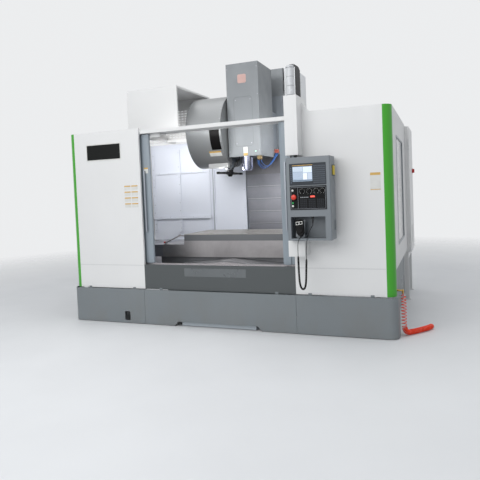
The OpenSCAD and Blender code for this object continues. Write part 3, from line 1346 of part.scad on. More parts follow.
// Cord between the pendant and its gland
module pendant_cord() color("black") place() {
    tube(lead_down, lead_d, 8, [1, 0, 0]);
    tube(curl_route, curl_d, 10, [0, 1, 0]);
    tube(lead_up, lead_d, 8, [1, -1, 0]);
}

// Cabinet door with its isolator
module cabinet_door() color("whitesmoke") place() {
    x0 = cabinet_x1 + run_gap;
    difference() {
        block([x0, cabinet_y0 + 2, cabinet_z0 + 2], [x0 + cabinet_door_t, cabinet_y1 - 2, cabinet_z1 - 2]);
        block([x0 - 1, cabinet_y0 + 6, cabinet_z0 + 6], [x0 + cabinet_door_t - sheet_t, cabinet_y1 - 6, cabinet_z1 - 6]);
        for (j = [0:7])
            side_form(x0 + cabinet_door_t - sheet_t - 1, sheet_t + 2)
                round_rect([cabinet_y0 + 200, cabinet_z0 + 140 + j * 30], [cabinet_y0 + 520, cabinet_z0 + 150 + j * 30], 4);
        bar_x([x0, cabinet_y1 - 150, 1900], 8.5, cabinet_door_t + 1);
    }
    for (z = hinge_z)
        difference() {
            union() {
                bar_z([hinge_x, hinge_y, z], 6, 90);
                block([hinge_x - 2, hinge_y + 3.5, z], [hinge_x + 2, hinge_y + 9, z + 90]);
            }
            bar_z([hinge_x, hinge_y, z - 1], 3.05, 92);
        }
}

module isolator_handle() color("red") place() {
    x0 = cabinet_x1 + run_gap + cabinet_door_t;
    bar_x([x0 + 1, cabinet_y1 - 150, 1900], 36, 12);
    bar_x([x0 - 15, cabinet_y1 - 150, 1900], 8, 17);
    block([x0 + 13, cabinet_y1 - 162, 1870], [x0 + isolator_reach, cabinet_y1 - 138, 1930]);
}

// Coiled air hose with its elbow on the side sheet and its coupling on the floor
module air_hose() color("orangered") place() {
    tube(hose_route, hose_d, 10, [0.8, -0.6, 0]);
    block([half_w - 70, 236, 486], [half_w - 60, 264, 514]);
    bar_x([half_w - 61, 250, 500], 12, 93);
    translate([2182, 250, 500]) sphere(r = 15);
    bar_z([2182, 250, 472], 12, 28);
}

bed_casting();
column_casting();
column_cover();
base_skirts();
front_panels();
corner_trims();
side_walls();
fixed_windows();
work_zone_liner();
door_header();
fixed_guards();
magazine_canopy();
magazine_cover();
changer_gearbox();
panel_supports();
signal_lamp();
cabinet_body();
saddle_casting();
x_covers_middle();
work_table();
table_guard();
y_cover_middle();
z_cover_1();
z_cover_2();
z_cover_3();
z_cover_4();
z_cover_5();
head_casting();
head_cover();
spindle_housing();
coolant_lines();
spindle();
tool_carousel();
change_pot();
arm_shaft();
change_arm();
door_left();
door_right();
door_window_left();
door_window_right();
panel_housing();
cnc_unit();
operator_plate();
emergency_stop();
button_light();
button_start();
button_hold();
knob_1();
knob_2();
knob_3();
knob_4();
port_lid();
pendant_body();
pendant_dial();
axis_selector();
step_selector();
pendant_cord();
cabinet_door();
isolator_handle();
air_hose();
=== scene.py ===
"""Looks of a vertical machining center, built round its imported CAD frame.

Metres, in the frame of the CAD model. P() takes millimetres on the machine's own axes:
X to the right and Y to the back from the front middle of its base, Z up.
"""

import math

import bmesh
import bpy
from mathutils import Matrix, Vector


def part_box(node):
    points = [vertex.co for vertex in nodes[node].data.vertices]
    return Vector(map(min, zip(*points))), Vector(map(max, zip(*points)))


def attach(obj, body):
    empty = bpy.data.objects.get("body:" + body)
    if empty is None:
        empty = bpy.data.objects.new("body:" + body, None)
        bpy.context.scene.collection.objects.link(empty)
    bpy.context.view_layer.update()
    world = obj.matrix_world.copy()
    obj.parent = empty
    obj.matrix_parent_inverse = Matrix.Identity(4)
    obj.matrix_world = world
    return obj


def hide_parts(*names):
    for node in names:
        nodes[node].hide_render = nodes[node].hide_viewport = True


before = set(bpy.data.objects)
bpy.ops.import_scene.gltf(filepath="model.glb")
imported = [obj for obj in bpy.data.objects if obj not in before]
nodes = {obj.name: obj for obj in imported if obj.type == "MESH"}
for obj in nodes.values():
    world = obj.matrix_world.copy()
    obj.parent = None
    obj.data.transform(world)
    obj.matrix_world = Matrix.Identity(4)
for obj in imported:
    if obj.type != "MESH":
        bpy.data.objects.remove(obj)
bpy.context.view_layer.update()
scene = bpy.context.scene
scene.view_settings.view_transform = "Standard"

# Origin of the frame, on the machine's axes
MID_X, MID_Y = 36.0, 1327.5
# Directions that screws and turned parts look in
OUT, DOWN = (0, -1, 0), (0, 0, -1)


def P(x, y, z):
    """A point given in millimetres on the machine's axes, in the frame."""
    return Vector(((x - MID_X) / 1000, (y - MID_Y) / 1000, z / 1000))


def edge(name, axis, high=False):
    """Where a node's box begins on an axis, or where it ends, in millimetres on the machine's axes."""
    return round(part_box(name)[high][axis] * 1000 + (MID_X, MID_Y, 0)[axis], 3)


def middle(name, axis):
    """The middle of a node's box on an axis, in millimetres on the machine's axes."""
    return round((edge(name, axis) + edge(name, axis, True)) / 2, 1)


# Faces that carry small parts, on Y. The door is 44 thick, and the operator plate stands 3 proud.
FRONT, HEAD, LINER = (edge(name, 1) for name in ("front_panels", "head_cover", "work_zone_liner"))
DOOR = edge("door_left", 1, True) - 44
PLATE = edge("panel_housing", 1) - 3
# Axis and radius of the magazine drum, whose round cover reaches up to its top
DRUM_Y = middle("magazine_cover", 1)
DRUM_R = edge("magazine_cover", 1, True) - DRUM_Y
DRUM_Z = edge("magazine_cover", 2, True) - DRUM_R
# Left, foot, right and top of the screen
SCREEN = (1116, 1757, 1331, 1917)


# Camera, light and floor


def make_camera():
    """The photograph's view. Focal length and shift are in pixels of a frame of 480 by 480."""
    frame_px, focal_px, shift_px, sensor = 480, 508.95, -26, 36
    yaw, pitch, roll = (math.radians(a) for a in (-21.59, -2.31, -2.33))
    ahead = Vector((math.sin(yaw) * math.cos(pitch), math.cos(yaw) * math.cos(pitch), math.sin(pitch)))
    level = Vector((math.cos(yaw), -math.sin(yaw), 0))
    up = level.cross(ahead)
    right = math.cos(roll) * level + math.sin(roll) * up
    top = math.cos(roll) * up - math.sin(roll) * level
    data = bpy.data.cameras.new("view")
    data.sensor_width = sensor
    data.lens = focal_px / frame_px * sensor
    data.shift_y = shift_px / frame_px
    data.clip_end = 200
    cam = bpy.data.objects.new("view", data)
    scene.collection.objects.link(cam)
    turn = Matrix((right, top, -ahead)).transposed().to_4x4()
    cam.matrix_world = Matrix.Translation((2.5647, -6.9730, 1.6546)) @ turn
    scene.camera = cam


def area_light(name, at, aim, size, watts):
    """A rectangular lamp that looks at a point. The camera doesn't see it."""
    data = bpy.data.lights.new(name, "AREA")
    data.shape = "RECTANGLE"
    data.size, data.size_y = size
    data.energy = watts
    lamp = bpy.data.objects.new(name, data)
    lamp.visible_camera = False
    scene.collection.objects.link(lamp)
    at, aim = Vector(at), Vector(aim)
    lamp.matrix_world = Matrix.Translation(at) @ (aim - at).to_track_quat("-Z", "Y").to_matrix().to_4x4()


def make_studio():
    """Soft lamps, a world that is pale where it is seen, and a pale floor that fades out."""
    area_light("overhead", (0.4, -0.9, 7.2), (0, 0, 0), (9, 8), 370)
    area_light("front", (-1.6, -8.6, 4.4), (0.2, 0, 1.4), (7, 4), 290)
    area_light("right", (7.5, -3.5, 4.4), (0.5, 0, 1.5), (5, 4), 5)
    area_light("inside", P(500, 420, 2440), P(300, 2120, 1200), (2.6, 0.3), 15)
    area_light("behind_drum", P(-1250, 1300, 2420), P(-1100, 2120, 1700), (0.9, 0.3), 9)
    area_light("inside_right", P(820, 1440, 2420), P(243, 1480, 2290), (0.3, 0.3), 4)
    area_light("work_light", P(-435, 1275, 2034), P(-60, 1150, 1110), (0.3, 0.06), 2.5)
    world = bpy.data.worlds.new("studio")
    scene.world = world
    world.use_nodes = True
    tree = world.node_tree
    tree.nodes.clear()
    out = tree.nodes.new("ShaderNodeOutputWorld")
    path = tree.nodes.new("ShaderNodeLightPath")
    soft, pale = (tree.nodes.new("ShaderNodeBackground") for _ in range(2))
    soft.inputs["Color"].default_value = (0.86, 0.90, 0.96, 1)
    soft.inputs["Strength"].default_value = 0.42
    pale.inputs["Color"].default_value = (0.84, 0.85, 0.86, 1)
    pale.inputs["Strength"].default_value = 1.0
    seen = path.outputs["Is Camera Ray"]
    for ray in ("Is Glossy Ray", "Is Transmission Ray"):
        most = tree.nodes.new("ShaderNodeMath")
        most.operation = "MAXIMUM"
        tree.links.new(seen, most.inputs[0])
        tree.links.new(path.outputs[ray], most.inputs[1])
        seen = most.outputs[0]
    mix = tree.nodes.new("ShaderNodeMixShader")
    tree.links.new(seen, mix.inputs[0])
    tree.links.new(soft.outputs[0], mix.inputs[1])
    tree.links.new(pale.outputs[0], mix.inputs[2])
    tree.links.new(mix.outputs[0], out.inputs[0])

    floor = bpy.data.meshes.new("floor")
    floor.from_pydata([(-30, -30, 0), (30, -30, 0), (30, 30, 0), (-30, 30, 0)], [], [(0, 1, 2, 3)])
    floor_ob = bpy.data.objects.new("floor", floor)
    scene.collection.objects.link(floor_ob)
    s = Shade("floor", rough=0.55)
    s.tone((0.70, 0.71, 0.72), 0.02, s.noise(0.9, detail=3))
    s.rough(0.5, 0.62, s.noise(2.2))
    mat = s.done()
    far = s.add("VectorMath", {"operation": "LENGTH"}, {0: s.object}).outputs["Value"]
    blend = s.add("MixShader", {}, {0: s.span(far, 4.5, 11.0), 1: s.bsdf.outputs[0],
                                    2: s.add("BsdfTransparent").outputs[0]})
    s.tree.links.new(blend.outputs[0], s.tree.nodes["Material Output"].inputs["Surface"])
    floor.materials.append(mat)


# Materials


def lin(r, g, b):
    """The linear colour of an 8-bit screen colour."""
    def one(c):
        c /= 255
        return c / 12.92 if c <= 0.04045 else ((c + 0.055) / 1.055) ** 2.4
    return (one(r), one(g), one(b))


def scaled(c, k):
    """A colour k times as bright, no part of it above 1."""
    return (min(c[0] * k, 1), min(c[1] * k, 1), min(c[2] * k, 1), 1)


class Shade:
    """A procedural material in the making. Its methods add nodes and return their output sockets."""

    def __init__(self, name, rough=0.5, metal=0.0, **shader):
        self.mat = bpy.data.materials.new(name)
        self.mat.use_nodes = True
        self.tree = self.mat.node_tree
        self.bsdf = self.tree.nodes["Principled BSDF"]
        self.c, self.r, self.m = (0.5, 0.5, 0.5, 1), rough, metal
        self.normal = None
        self.object = self.add("TexCoord").outputs["Object"]
        self.xyz = None
        for key, value in shader.items():
            self.bsdf.inputs[key.replace("_", " ")].default_value = value

    def add(self, kind, props=(), ins=()):
        n = self.tree.nodes.new("ShaderNode" + kind)
        for key, value in dict(props).items():
            setattr(n, key, value)
        for key, value in dict(ins).items():
            self.put(value, n.inputs[key])
        return n

    def put(self, value, socket):
        if isinstance(value, bpy.types.NodeSocket):
            self.tree.links.new(value, socket)
        else:
            socket.default_value = value

    def noise(self, scale, stretch=None, detail=2.0, rough=0.5, warp=0.0):
        """Noise with so many features to a metre. stretch multiplies the place along each axis first."""
        at = self.object
        if stretch:
            at = self.add("Mapping", {}, {"Vector": at, "Scale": stretch}).outputs[0]
        n = self.add("TexNoise", {}, {"Vector": at, "Scale": scale, "Detail": detail, "Roughness": rough,
                                      "Distortion": warp})
        return n.outputs[0]

    def span(self, value, a, b, lo=0.0, hi=1.0):
        """value from a..b mapped onto lo..hi, and held there outside."""
        n = self.add("MapRange", {}, {0: value, 1: a, 2: b, 3: lo, 4: hi})
        return n.outputs[0]

    def maths(self, op, a, b=0.0):
        return self.add("Math", {"operation": op}, {0: a, 1: b}).outputs[0]

    def axis(self, i):
        if self.xyz is None:
            self.xyz = self.add("SeparateXYZ", {}, {0: self.object})
        return self.xyz.outputs[i]

    def zone(self, lo, hi):
        """1 inside a box in millimetres on the machine's axes, and 0 outside. None leaves a side open."""
        mask = None
        for i in range(3):
            shift = (MID_X, MID_Y, 0)[i]
            for limit, op in ((lo[i], "GREATER_THAN"), (hi[i], "LESS_THAN")):
                if limit is None:
                    continue
                one = self.maths(op, self.axis(i), (limit - shift) / 1000)
                mask = one if mask is None else self.maths("MULTIPLY", mask, one)
        return mask

    def mix(self, fac, a, b):
        n = self.add("Mix", {"data_type": "RGBA"})
        self.put(fac, n.inputs[0])
        self.put(a, n.inputs[6])
        self.put(b, n.inputs[7])
        return n.outputs[2]

    def tone(self, colour, amount, fac):
        """The base colour, a little darker and lighter as fac goes from 0 to 1."""
        self.c = self.mix(self.span(fac, 0.3, 0.7), scaled(colour, 1 - amount), scaled(colour, 1 + amount))

    def shade(self, fac, amount):
        """Multiplies the colour by 1 - amount to 1 as fac goes from 0 to 1."""
        k = self.span(fac, 0.3, 0.7, 1 - amount, 1.0)
        n = self.add("VectorMath", {"operation": "SCALE"})
        self.put(self.c, n.inputs[0])
        self.put(k, n.inputs["Scale"])
        self.c = n.outputs[0]

    def over(self, mask, colour, rough=None, metal=None):
        """Paints colour where mask is 1."""
        self.c = self.mix(mask, self.c, (*colour[:3], 1))
        for key, value in (("r", rough), ("m", metal)):
            if value is not None:
                n = self.add("Mix", {"data_type": "FLOAT"})
                self.put(mask, n.inputs[0])
                self.put(getattr(self, key), n.inputs[2])
                self.put(value, n.inputs[3])
                setattr(self, key, n.outputs[0])

    def rough(self, lo, hi, fac):
        """The roughness, from lo to hi as fac goes from 0 to 1."""
        self.r = self.span(fac, 0.3, 0.7, lo, hi)

    def bump(self, height, distance):
        """Adds relief on top of what there is, distance metres deep."""
        n = self.add("Bump", {}, {"Height": height, "Distance": distance, "Strength": 1.0})
        if self.normal is not None:
            self.put(self.normal, n.inputs["Normal"])
        self.normal = n.outputs[0]

    def glow(self, strength):
        """Lights the surface in its own colour."""
        self.put(self.c, self.bsdf.inputs["Emission Color"])
        self.bsdf.inputs["Emission Strength"].default_value = strength

    def done(self):
        """Links what was set to the shader, and returns the material."""
        b = self.bsdf.inputs
        self.put(self.c if isinstance(self.c, bpy.types.NodeSocket) else (*self.c[:3], 1), b["Base Color"])
        self.put(self.r, b["Roughness"])
        self.put(self.m, b["Metallic"])
        if self.normal is not None:
            self.put(self.normal, b["Normal"])
        return self.mat


def paint(name, rgb, rough=0.42, tone=0.03, peel=0.00012, wave=0.0009, grime=0.0, metal=0.0, done=True):
    """Sprayed or powder-coated sheet metal: faint mottling, orange peel, sheet waviness, dust low down."""
    s = Shade(name, rough, metal)
    s.tone(lin(*rgb), tone, s.noise(1.3, detail=3))
    s.shade(s.noise(420, detail=1), tone * 0.9)
    s.rough(rough - 0.05, rough + 0.07, s.noise(5, detail=4))
    if grime:
        low = s.span(s.axis(2), 0.02, 0.55, 1.0, 0.0)
        dust = s.maths("MULTIPLY", low, s.span(s.noise(3.2, (1, 1, 0.5), 5, 0.6), 0.42, 0.7))
        s.over(s.maths("MULTIPLY", dust, grime), lin(118, 112, 104), min(rough + 0.25, 0.9))
    s.bump(s.noise(1.7, detail=1), wave)
    s.bump(s.noise(330, detail=2), peel)
    return s.done() if done else s


def steel(name, rgb, rough=0.34, along=(1, 1, 1), streak=0.12, stain=0.15, metal=0.85, done=True):
    """Bare sheet or ground metal: fine lines along one axis, soft stains and rubbed patches."""
    s = Shade(name, rough, metal)
    lines = s.noise(1.0, tuple(900 if a else 6 for a in along), 3, 0.6)
    s.tone(lin(*rgb), streak, lines)
    s.shade(s.noise(2.4, detail=5, rough=0.62, warp=0.6), stain)
    s.rough(rough - 0.08, rough + 0.14, s.noise(3.1, detail=4, warp=0.4))
    s.bump(s.noise(1.5, detail=1), 0.0012)
    s.bump(lines, 0.00006)
    return s.done() if done else s


def plastic(name, rgb, rough=0.45, grain=0.00012, tone=0.05, done=True, **shader):
    """Moulded plastic: faint mottling and a fine moulded grain."""
    shader.setdefault("Specular_IOR_Level", 0.5 if max(rgb) > 90 else 0.28)
    s = Shade(name, rough, 0.0, **shader)
    s.tone(lin(*rgb), tone, s.noise(14, detail=3))
    s.rough(rough - 0.05, rough + 0.08, s.noise(30, detail=3))
    s.bump(s.noise(900, detail=2), grain)
    return s.done() if done else s


def pane(name, rgb, rough=0.04, through=1.0, done=True):
    """Window sheet with faint wipe marks."""
    s = Shade(name, rough, 0.0, Transmission_Weight=through, IOR=1.45)
    s.tone(lin(*rgb), 0.03, s.noise(6, detail=2))
    s.rough(rough, rough + 0.09, s.noise(4, (1, 1, 4), 4, 0.6, 1.2))
    return s.done() if done else s


def make_materials():
    """The materials that several nodes or pieces share."""
    m = {}
    m["white"] = paint("white_enamel", (226, 226, 225), 0.40, 0.015, grime=0.10)
    # White liner paint with a blue tint, which is painted light from the bluish lamps inside
    m["white_in"] = paint("white_liner_blue_lit", (226, 230, 240), 0.36, 0.02, wave=0.0016)
    m["skirt"] = paint("grey_enamel_skirt", (122, 128, 131), 0.44, 0.03, grime=0.35)
    m["green"] = paint("green_enamel", (62, 160, 36), 0.36, 0.03, wave=0.0003)
    m["cast"] = paint("cast_grey", (112, 118, 124), 0.5, 0.05, peel=0.0006, grime=0.3)
    m["column"] = paint("column_grey", (176, 180, 184), 0.5, 0.04, peel=0.0005)
    m["cover"] = steel("cover_steel", (146, 147, 154), 0.40, (0, 0, 1), 0.06, 0.16)
    m["roof"] = steel("roof_steel", (168, 165, 167), 0.34, (0, 1, 0), 0.05, 0.16)
    m["bright"] = steel("bright_steel", (168, 170, 188), 0.17, (0, 0, 1), 0.04, 0.05, 1.0)
    m["black_steel"] = plastic("black_oxide", (20, 20, 22), 0.5, 0.0002, 0.2)
    m["black"] = plastic("black_moulding", (11, 11, 12), 0.55, Specular_IOR_Level=0.14)
    m["pot"] = plastic("pot_moulding", (44, 45, 48), 0.5)
    m["rubber"] = plastic("black_rubber", (13, 13, 14), 0.6, 0.0002)
    m["red"] = plastic("red_moulding", (214, 52, 30), 0.3)
    m["red_deep"] = plastic("red_handle", (176, 26, 22), 0.35)
    m["key_white"] = plastic("white_button", (226, 227, 222), 0.3)
    m["key_green"] = plastic("green_button", (24, 150, 74), 0.3)
    m["blue"] = plastic("blue_tube", (44, 96, 168), 0.3)
    m["orange"] = plastic("orange_tube", (236, 62, 22), 0.25)
    m["brass"] = steel("brass", (196, 160, 92), 0.3, (1, 0, 0), 0.06, 0.1, 1.0)
    m["zinc"] = steel("zinc_screw", (176, 178, 182), 0.32, (1, 1, 0), 0.06, 0.1, 1.0)
    m["label"] = plastic("blank_label", (214, 214, 210), 0.35)
    m["strip"] = plastic("label_strip", (206, 166, 84), 0.35)
    m["enamel_black"] = plastic("black_enamel", (13, 15, 14), 0.35, Specular_IOR_Level=0.16)
    m["fold"] = paint("fold_shadow", (196, 197, 197), 0.45, 0.02)
    m["fold_dark"] = paint("fold_shadow_dark", (88, 92, 95), 0.45, 0.03)
    m["badge"] = plastic("badge_plate", (196, 160, 152), 0.4)
    m["joint"] = paint("joint_strip", (168, 172, 180), 0.45, 0.03)
    m["plate"] = steel("brushed_plate", (112, 116, 118), 0.3, (0, 1, 1), 0.05, 0.1, 0.6)
    m["glass"] = pane("clear_window", (226, 236, 238))
    return m


def dress(m):
    """Gives each CAD node its material. Parts of one node that differ are told apart by their place."""

    def give(name, mat):
        ob = nodes[name]
        if not ob.material_slots:
            ob.data.materials.append(mat)
        for k in ob.material_slots:
            k.link = "OBJECT"
            k.material = mat

    plain = {
        "cast": "bed_casting", "column": "column_casting", "skirt": "base_skirts", "green": "corner_trims",
        "white": "front_panels magazine_canopy panel_supports cabinet_body cabinet_door door_header",
        "white_in": "work_zone_liner", "cover": "x_covers_middle", "roof": "y_cover_middle",
        "bright": "spindle_housing spindle", "pot": "tool_carousel change_pot",
        "black_steel": "arm_shaft change_arm", "glass": "door_window_left door_window_right",
        "red": "emergency_stop", "red_deep": "isolator_handle", "key_green": "button_start",
        "key_white": "button_light button_hold",
        "black": "pendant_dial pendant_body axis_selector step_selector knob_1 knob_2 knob_3 knob_4",
    }
    for key, names in plain.items():
        for name in names.split():
            give(name, m[key])

    for i in range(1, 6):
        name = f"z_cover_{i}"
        low = edge(name, 2)
        s = steel(f"way_cover_steel_{i}", (146, 147, 154), 0.40, (0, 0, 1), 0.06, 0.16, done=False)
        # Painted highlight along each plate's lower lip, and below it a painted shadow line at the plate's
        # very foot
        s.over(s.zone((None, None, low + 4), (None, None, low + 15)), lin(176, 178, 184), 0.28)
        s.over(s.zone((None, None, None), (None, None, low + 4)), lin(70, 70, 74), 0.6)
        soil = s.maths("MULTIPLY", s.span(s.axis(2), (low + 15) / 1000, (low + 120) / 1000, 0.35, 0.0),
                       s.noise(5, (3, 1, 1), 4, 0.6))
        s.over(soil, lin(92, 90, 92), 0.5)
        give(name, s.done())

    s = paint("column_cover_enamel", (226, 228, 229), 0.42, 0.02, done=False)
    chain = s.maths("MAXIMUM", s.zone((516.5, None, None), (None, None, None)),
                    s.zone((None, None, 3600.5), (None, None, None)))
    s.over(chain, lin(26, 27, 30), 0.45)
    give("column_cover", s.done())

    s = paint("door_enamel", (142, 152, 160), 0.38, 0.025, done=False)
    s.over(s.zone((None, None, None), (None, 95.5, None)), lin(150, 155, 162), 0.42, 0.6)
    give("door_left", s.mat)
    give("door_right", s.done())

    s = steel("front_guards", (168, 165, 167), 0.36, (0, 1, 0), 0.05, 0.16, done=False)
    s.over(s.zone((None, None, 440), (None, 61, None)), lin(84, 88, 89), 0.33, 0.35)
    s.over(s.zone((None, None, None), (None, None, 90)), lin(172, 180, 186), 0.45, 0.2)
    give("fixed_guards", s.done())

    # The side walls' white enamel, painted a little darker than the front panels' white as painted shade
    s = paint("side_wall_enamel_shaded", (214, 214, 213), 0.40, 0.015, grime=0.1, done=False)
    bars = s.maths("MAXIMUM", s.zone((2130.3, None, None), (None, None, None)),
                   s.zone((2100.5, 561, 1001), (2129, 1559, 2239)))
    s.over(bars, lin(150, 157, 162), 0.4)
    give("side_walls", s.done())

    s = pane("fixed_panes", (104, 112, 118), 0.08, 0.5, done=False)
    smoked = s.zone((None, None, None), (0, None, None))
    s.over(smoked, lin(13, 12, 12), 0.3)
    s.put(s.span(smoked, 0, 1, 0.5, 0.0), s.bsdf.inputs["Transmission Weight"])
    s.put(s.span(smoked, 0, 1, 0.5, 0.12), s.bsdf.inputs["Specular IOR Level"])
    give("fixed_windows", s.done())

    s = paint("drum_enamel", (134, 136, 137), 0.34, 0.02, metal=0.3, wave=0.0010, done=False)
    bar = s.zone((-594, 1244, 2039), (-276, 1306, 2111))
    s.over(bar, lin(176, 177, 176), 0.45, 0.0)
    give("magazine_cover", s.done())

    s = paint("gearbox_enamel", (96, 102, 108), 0.48, 0.04, peel=0.0004, done=False)
    s.over(s.zone((-440, 1390, 2382), (-290, 1550, None)), lin(26, 27, 29), 0.4)
    give("changer_gearbox", s.done())

    s = plastic("lamp_tiers", (224, 226, 228), 0.22, 0.0, 0.03, done=False, Transmission_Weight=0.08)
    rings = None
    for z in (2715, 2825, 2925, 3025):
        ring = s.zone((None, None, z - 1), (None, None, z + 15 if z == 2715 else z + 4.5))
        rings = ring if rings is None else s.maths("MAXIMUM", rings, ring)
    s.over(rings, lin(150, 153, 156), 0.3)
    wrap = s.noise(1.0, (40, 40, 12), 5, 0.7, 2.0)
    s.shade(wrap, 0.16)
    s.bump(wrap, 0.002)
    give("signal_lamp", s.done())

    s = steel("saddle_iron", (116, 117, 120), 0.46, (1, 0, 0), 0.08, 0.22, 0.6, done=False)
    s.over(s.zone((1151, None, None), (1420, None, 950)), lin(28, 28, 30), 0.4, 0.0)
    give("saddle_casting", s.done())

    s = steel("table_iron", (172, 168, 162), 0.34, (0, 1, 1), 0.10, 0.30, 0.85, done=False)
    dark = s.span(s.noise(7, (1, 1.6, 1), 5, 0.7, 0.8), 0.50, 0.75)
    s.over(s.maths("MULTIPLY", dark, 0.38), lin(122, 112, 98), 0.5, 0.6)
    s.over(s.zone((None, None, None), (None, None, 1108)), lin(104, 106, 109), 0.5, 0.5)
    give("work_table", s.done())

    give("table_guard", steel("table_guard_steel", (164, 161, 162), 0.38, (1, 1, 0), 0.06, 0.22))
    give("head_cover", paint("head_enamel", (120, 124, 127), 0.38, 0.02, metal=0.2, wave=0.0010))

    s = paint("head_cast_enamel", (120, 126, 132), 0.46, 0.04, peel=0.0005, done=False)
    s.over(s.zone((177, 1239, None), (239, 1291, 2191)), lin(128, 110, 76), 0.45, 0.7)
    s.over(s.zone((229, 1899, 2255), (286, 1961, 2315)), lin(168, 84, 66), 0.4)
    s.over(s.zone((None, 2128.5, None), (None, 2170, 2250)), lin(128, 127, 131), 0.4, 0.85)
    s.over(s.zone((-125, None, 2786), (125, 1830, None)), lin(24, 25, 27), 0.4)
    give("head_casting", s.done())

    s = paint("panel_enamel", (121, 127, 132), 0.40, 0.02, done=False)
    s.over(s.zone((1035, -125, 2019), (1115, -50, 2060)), lin(26, 26, 28), 0.4)
    s.over(s.zone((1290, -256, 1314), (1322, -224, 1375.5)), lin(26, 26, 28), 0.45)
    give("panel_housing", s.done())

    x0, z0, z1 = edge("port_lid", 0), edge("port_lid", 2), edge("port_lid", 2, True)
    s = plastic("lid_moulding", (20, 20, 21), 0.45, done=False)
    s.over(s.zone((x0 + 4, None, z0 + 9), (None, None, z1 - 9)), lin(206, 184, 60), 0.4)
    give("port_lid", s.done())

    s = plastic("unit_face", (50, 55, 61), 0.48, done=False)
    raised = s.zone((None, None, None), (None, -304.2, None))
    s.over(raised, lin(82, 88, 96), 0.42)
    s.over(s.zone((1091, None, None), (1107, -304.2, None)), lin(84, 94, 108), 0.4)
    x0, z0, x1, z1 = SCREEN
    well = s.zone((x0 - 2, None, z0 - 2), (x1 + 2, -300, z1 + 2))
    s.over(s.maths("MULTIPLY", well, s.maths("LESS_THAN", raised, 0.5)), lin(24, 26, 30), 0.3)
    give("cnc_unit", s.done())

    s = plastic("key_plate", (13, 14, 15), 0.55, done=False, Specular_IOR_Level=0.15)
    s.over(s.zone((None, None, 1469), (None, PLATE - 0.3, 1572)), lin(44, 46, 50), 0.45)
    s.over(s.zone((1189, None, 1579), (1290, PLATE - 0.3, 1592)), lin(150, 153, 156), 0.4)
    give("operator_plate", s.done())


# Tools that build pieces


def new_object(name, bm, mat, body, bevel=0.0):
    """Turns a bmesh into a piece that rides on a body."""
    bmesh.ops.recalc_face_normals(bm, faces=bm.faces)
    data = bpy.data.meshes.new(name)
    bm.to_mesh(data)
    bm.free()
    for mt in mat if isinstance(mat, (list, tuple)) else [mat]:
        data.materials.append(mt)
    data.shade_smooth()
    data.set_sharp_from_angle(angle=math.radians(35))
    ob = bpy.data.objects.new(name, data)
    scene.collection.objects.link(ob)
    if bevel:
        mod = ob.modifiers.new("edges", "BEVEL")
        mod.width, mod.segments, mod.limit_method = bevel / 1000, 2, "ANGLE"
        mod.angle_limit = math.radians(40)
    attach(ob, body)
    return ob


def round_rect(x0, z0, x1, z1, r, n=6):
    """The outline of a rectangle with round corners, n steps to a corner."""
    pts = []
    left, right, low, high = x0 + r, x1 - r, z0 + r, z1 - r
    for cx, cz, a in ((right, low, -90), (right, high, 0), (left, high, 90), (left, low, 180)):
        for i in range(n + 1):
            t = math.radians(a + 90 * i / n)
            pts.append((cx + r * math.cos(t), cz + r * math.sin(t)))
    return pts


def on_axis(axis, d, u, v):
    """A machine point: d along the axis, u and v on the other two, in X, Y, Z order."""
    return {"x": (d, u, v), "y": (u, d, v), "z": (u, v, d)}[axis]


def slab(bm, pts, axis, d0, d1, index=0, frame_of=None):
    """A prism over an outline between two planes."""
    rings = []
    for d in (d0, d1):
        ring = []
        for u, v in pts:
            p = Vector(on_axis(axis, d, u, v))
            ring.append(bm.verts.new(frame_of @ p if frame_of is not None else P(*p)))
        rings.append(ring)
    n = len(pts)
    faces = [bm.faces.new(rings[0]), bm.faces.new(list(reversed(rings[1])))]
    for i in range(n):
        j = (i + 1) % n
        faces.append(bm.faces.new((rings[0][i], rings[0][j], rings[1][j], rings[1][i])))
    for f in faces:
        f.material_index = index


def turned(bm, profile, place, n=32, index=0):
    """A turned form: (radius, height) pairs about the Z of place, a 4x4 matrix in the frame."""
    rings = []
    for r, h in profile:
        if r < 1e-6:
            rings.append([bm.verts.new(place @ Vector((0, 0, h / 1000)))])
            continue
        ring = []
        for i in range(n):
            t = 2 * math.pi * i / n
            at = Vector((r * math.cos(t) / 1000, r * math.sin(t) / 1000, h / 1000))
            ring.append(bm.verts.new(place @ at))
        rings.append(ring)
    for a, b in zip(rings, rings[1:]):
        for i in range(n):
            j = (i + 1) % n
            quad = [a[i % len(a)], a[j % len(a)], b[j % len(b)], b[i % len(b)]]
            unique = list(dict.fromkeys(quad))
            if len(unique) > 2:
                bm.faces.new(unique).material_index = index
    for ring, flip in ((rings[0], True), (rings[-1], False)):
        if len(ring) > 1:
            bm.faces.new(list(reversed(ring)) if flip else ring).material_index = index


def toward(at, direction):
    """A frame at a machine point whose Z looks along direction."""
    d = Vector(direction).normalized()
    return Matrix.Translation(P(*at)) @ d.to_track_quat("Z", "Y").to_matrix().to_4x4()


def screw(bm, at, direction, r=5.0, index=0):
    """A low screw head with a round socket."""
    turned(bm, [(r, -1), (r, 1.6), (r * 0.8, 2.6), (r * 0.5, 2.6), (r * 0.42, 1.2), (0, 1.2)],
           toward(at, direction), 16, index)


def smooth_path(points, step=8.0):
    """Catmull-Rom through the points, sampled about every step millimetres."""
    pts = [Vector(p) for p in points]
    ext = [2 * pts[0] - pts[1], *pts, 2 * pts[-1] - pts[-2]]
    out = []
    for i in range(1, len(ext) - 2):
        a, b, c, d = ext[i - 1:i + 3]
        n = max(2, int((c - b).length / step))
        for k in range(n):
            t = k / n
            out.append(0.5 * ((2 * b) + (c - a) * t + (2 * a - 5 * b + 4 * c - d) * t * t
                              + (3 * b - a - 3 * c + d) * t ** 3))
    out.append(pts[-1])
    return out


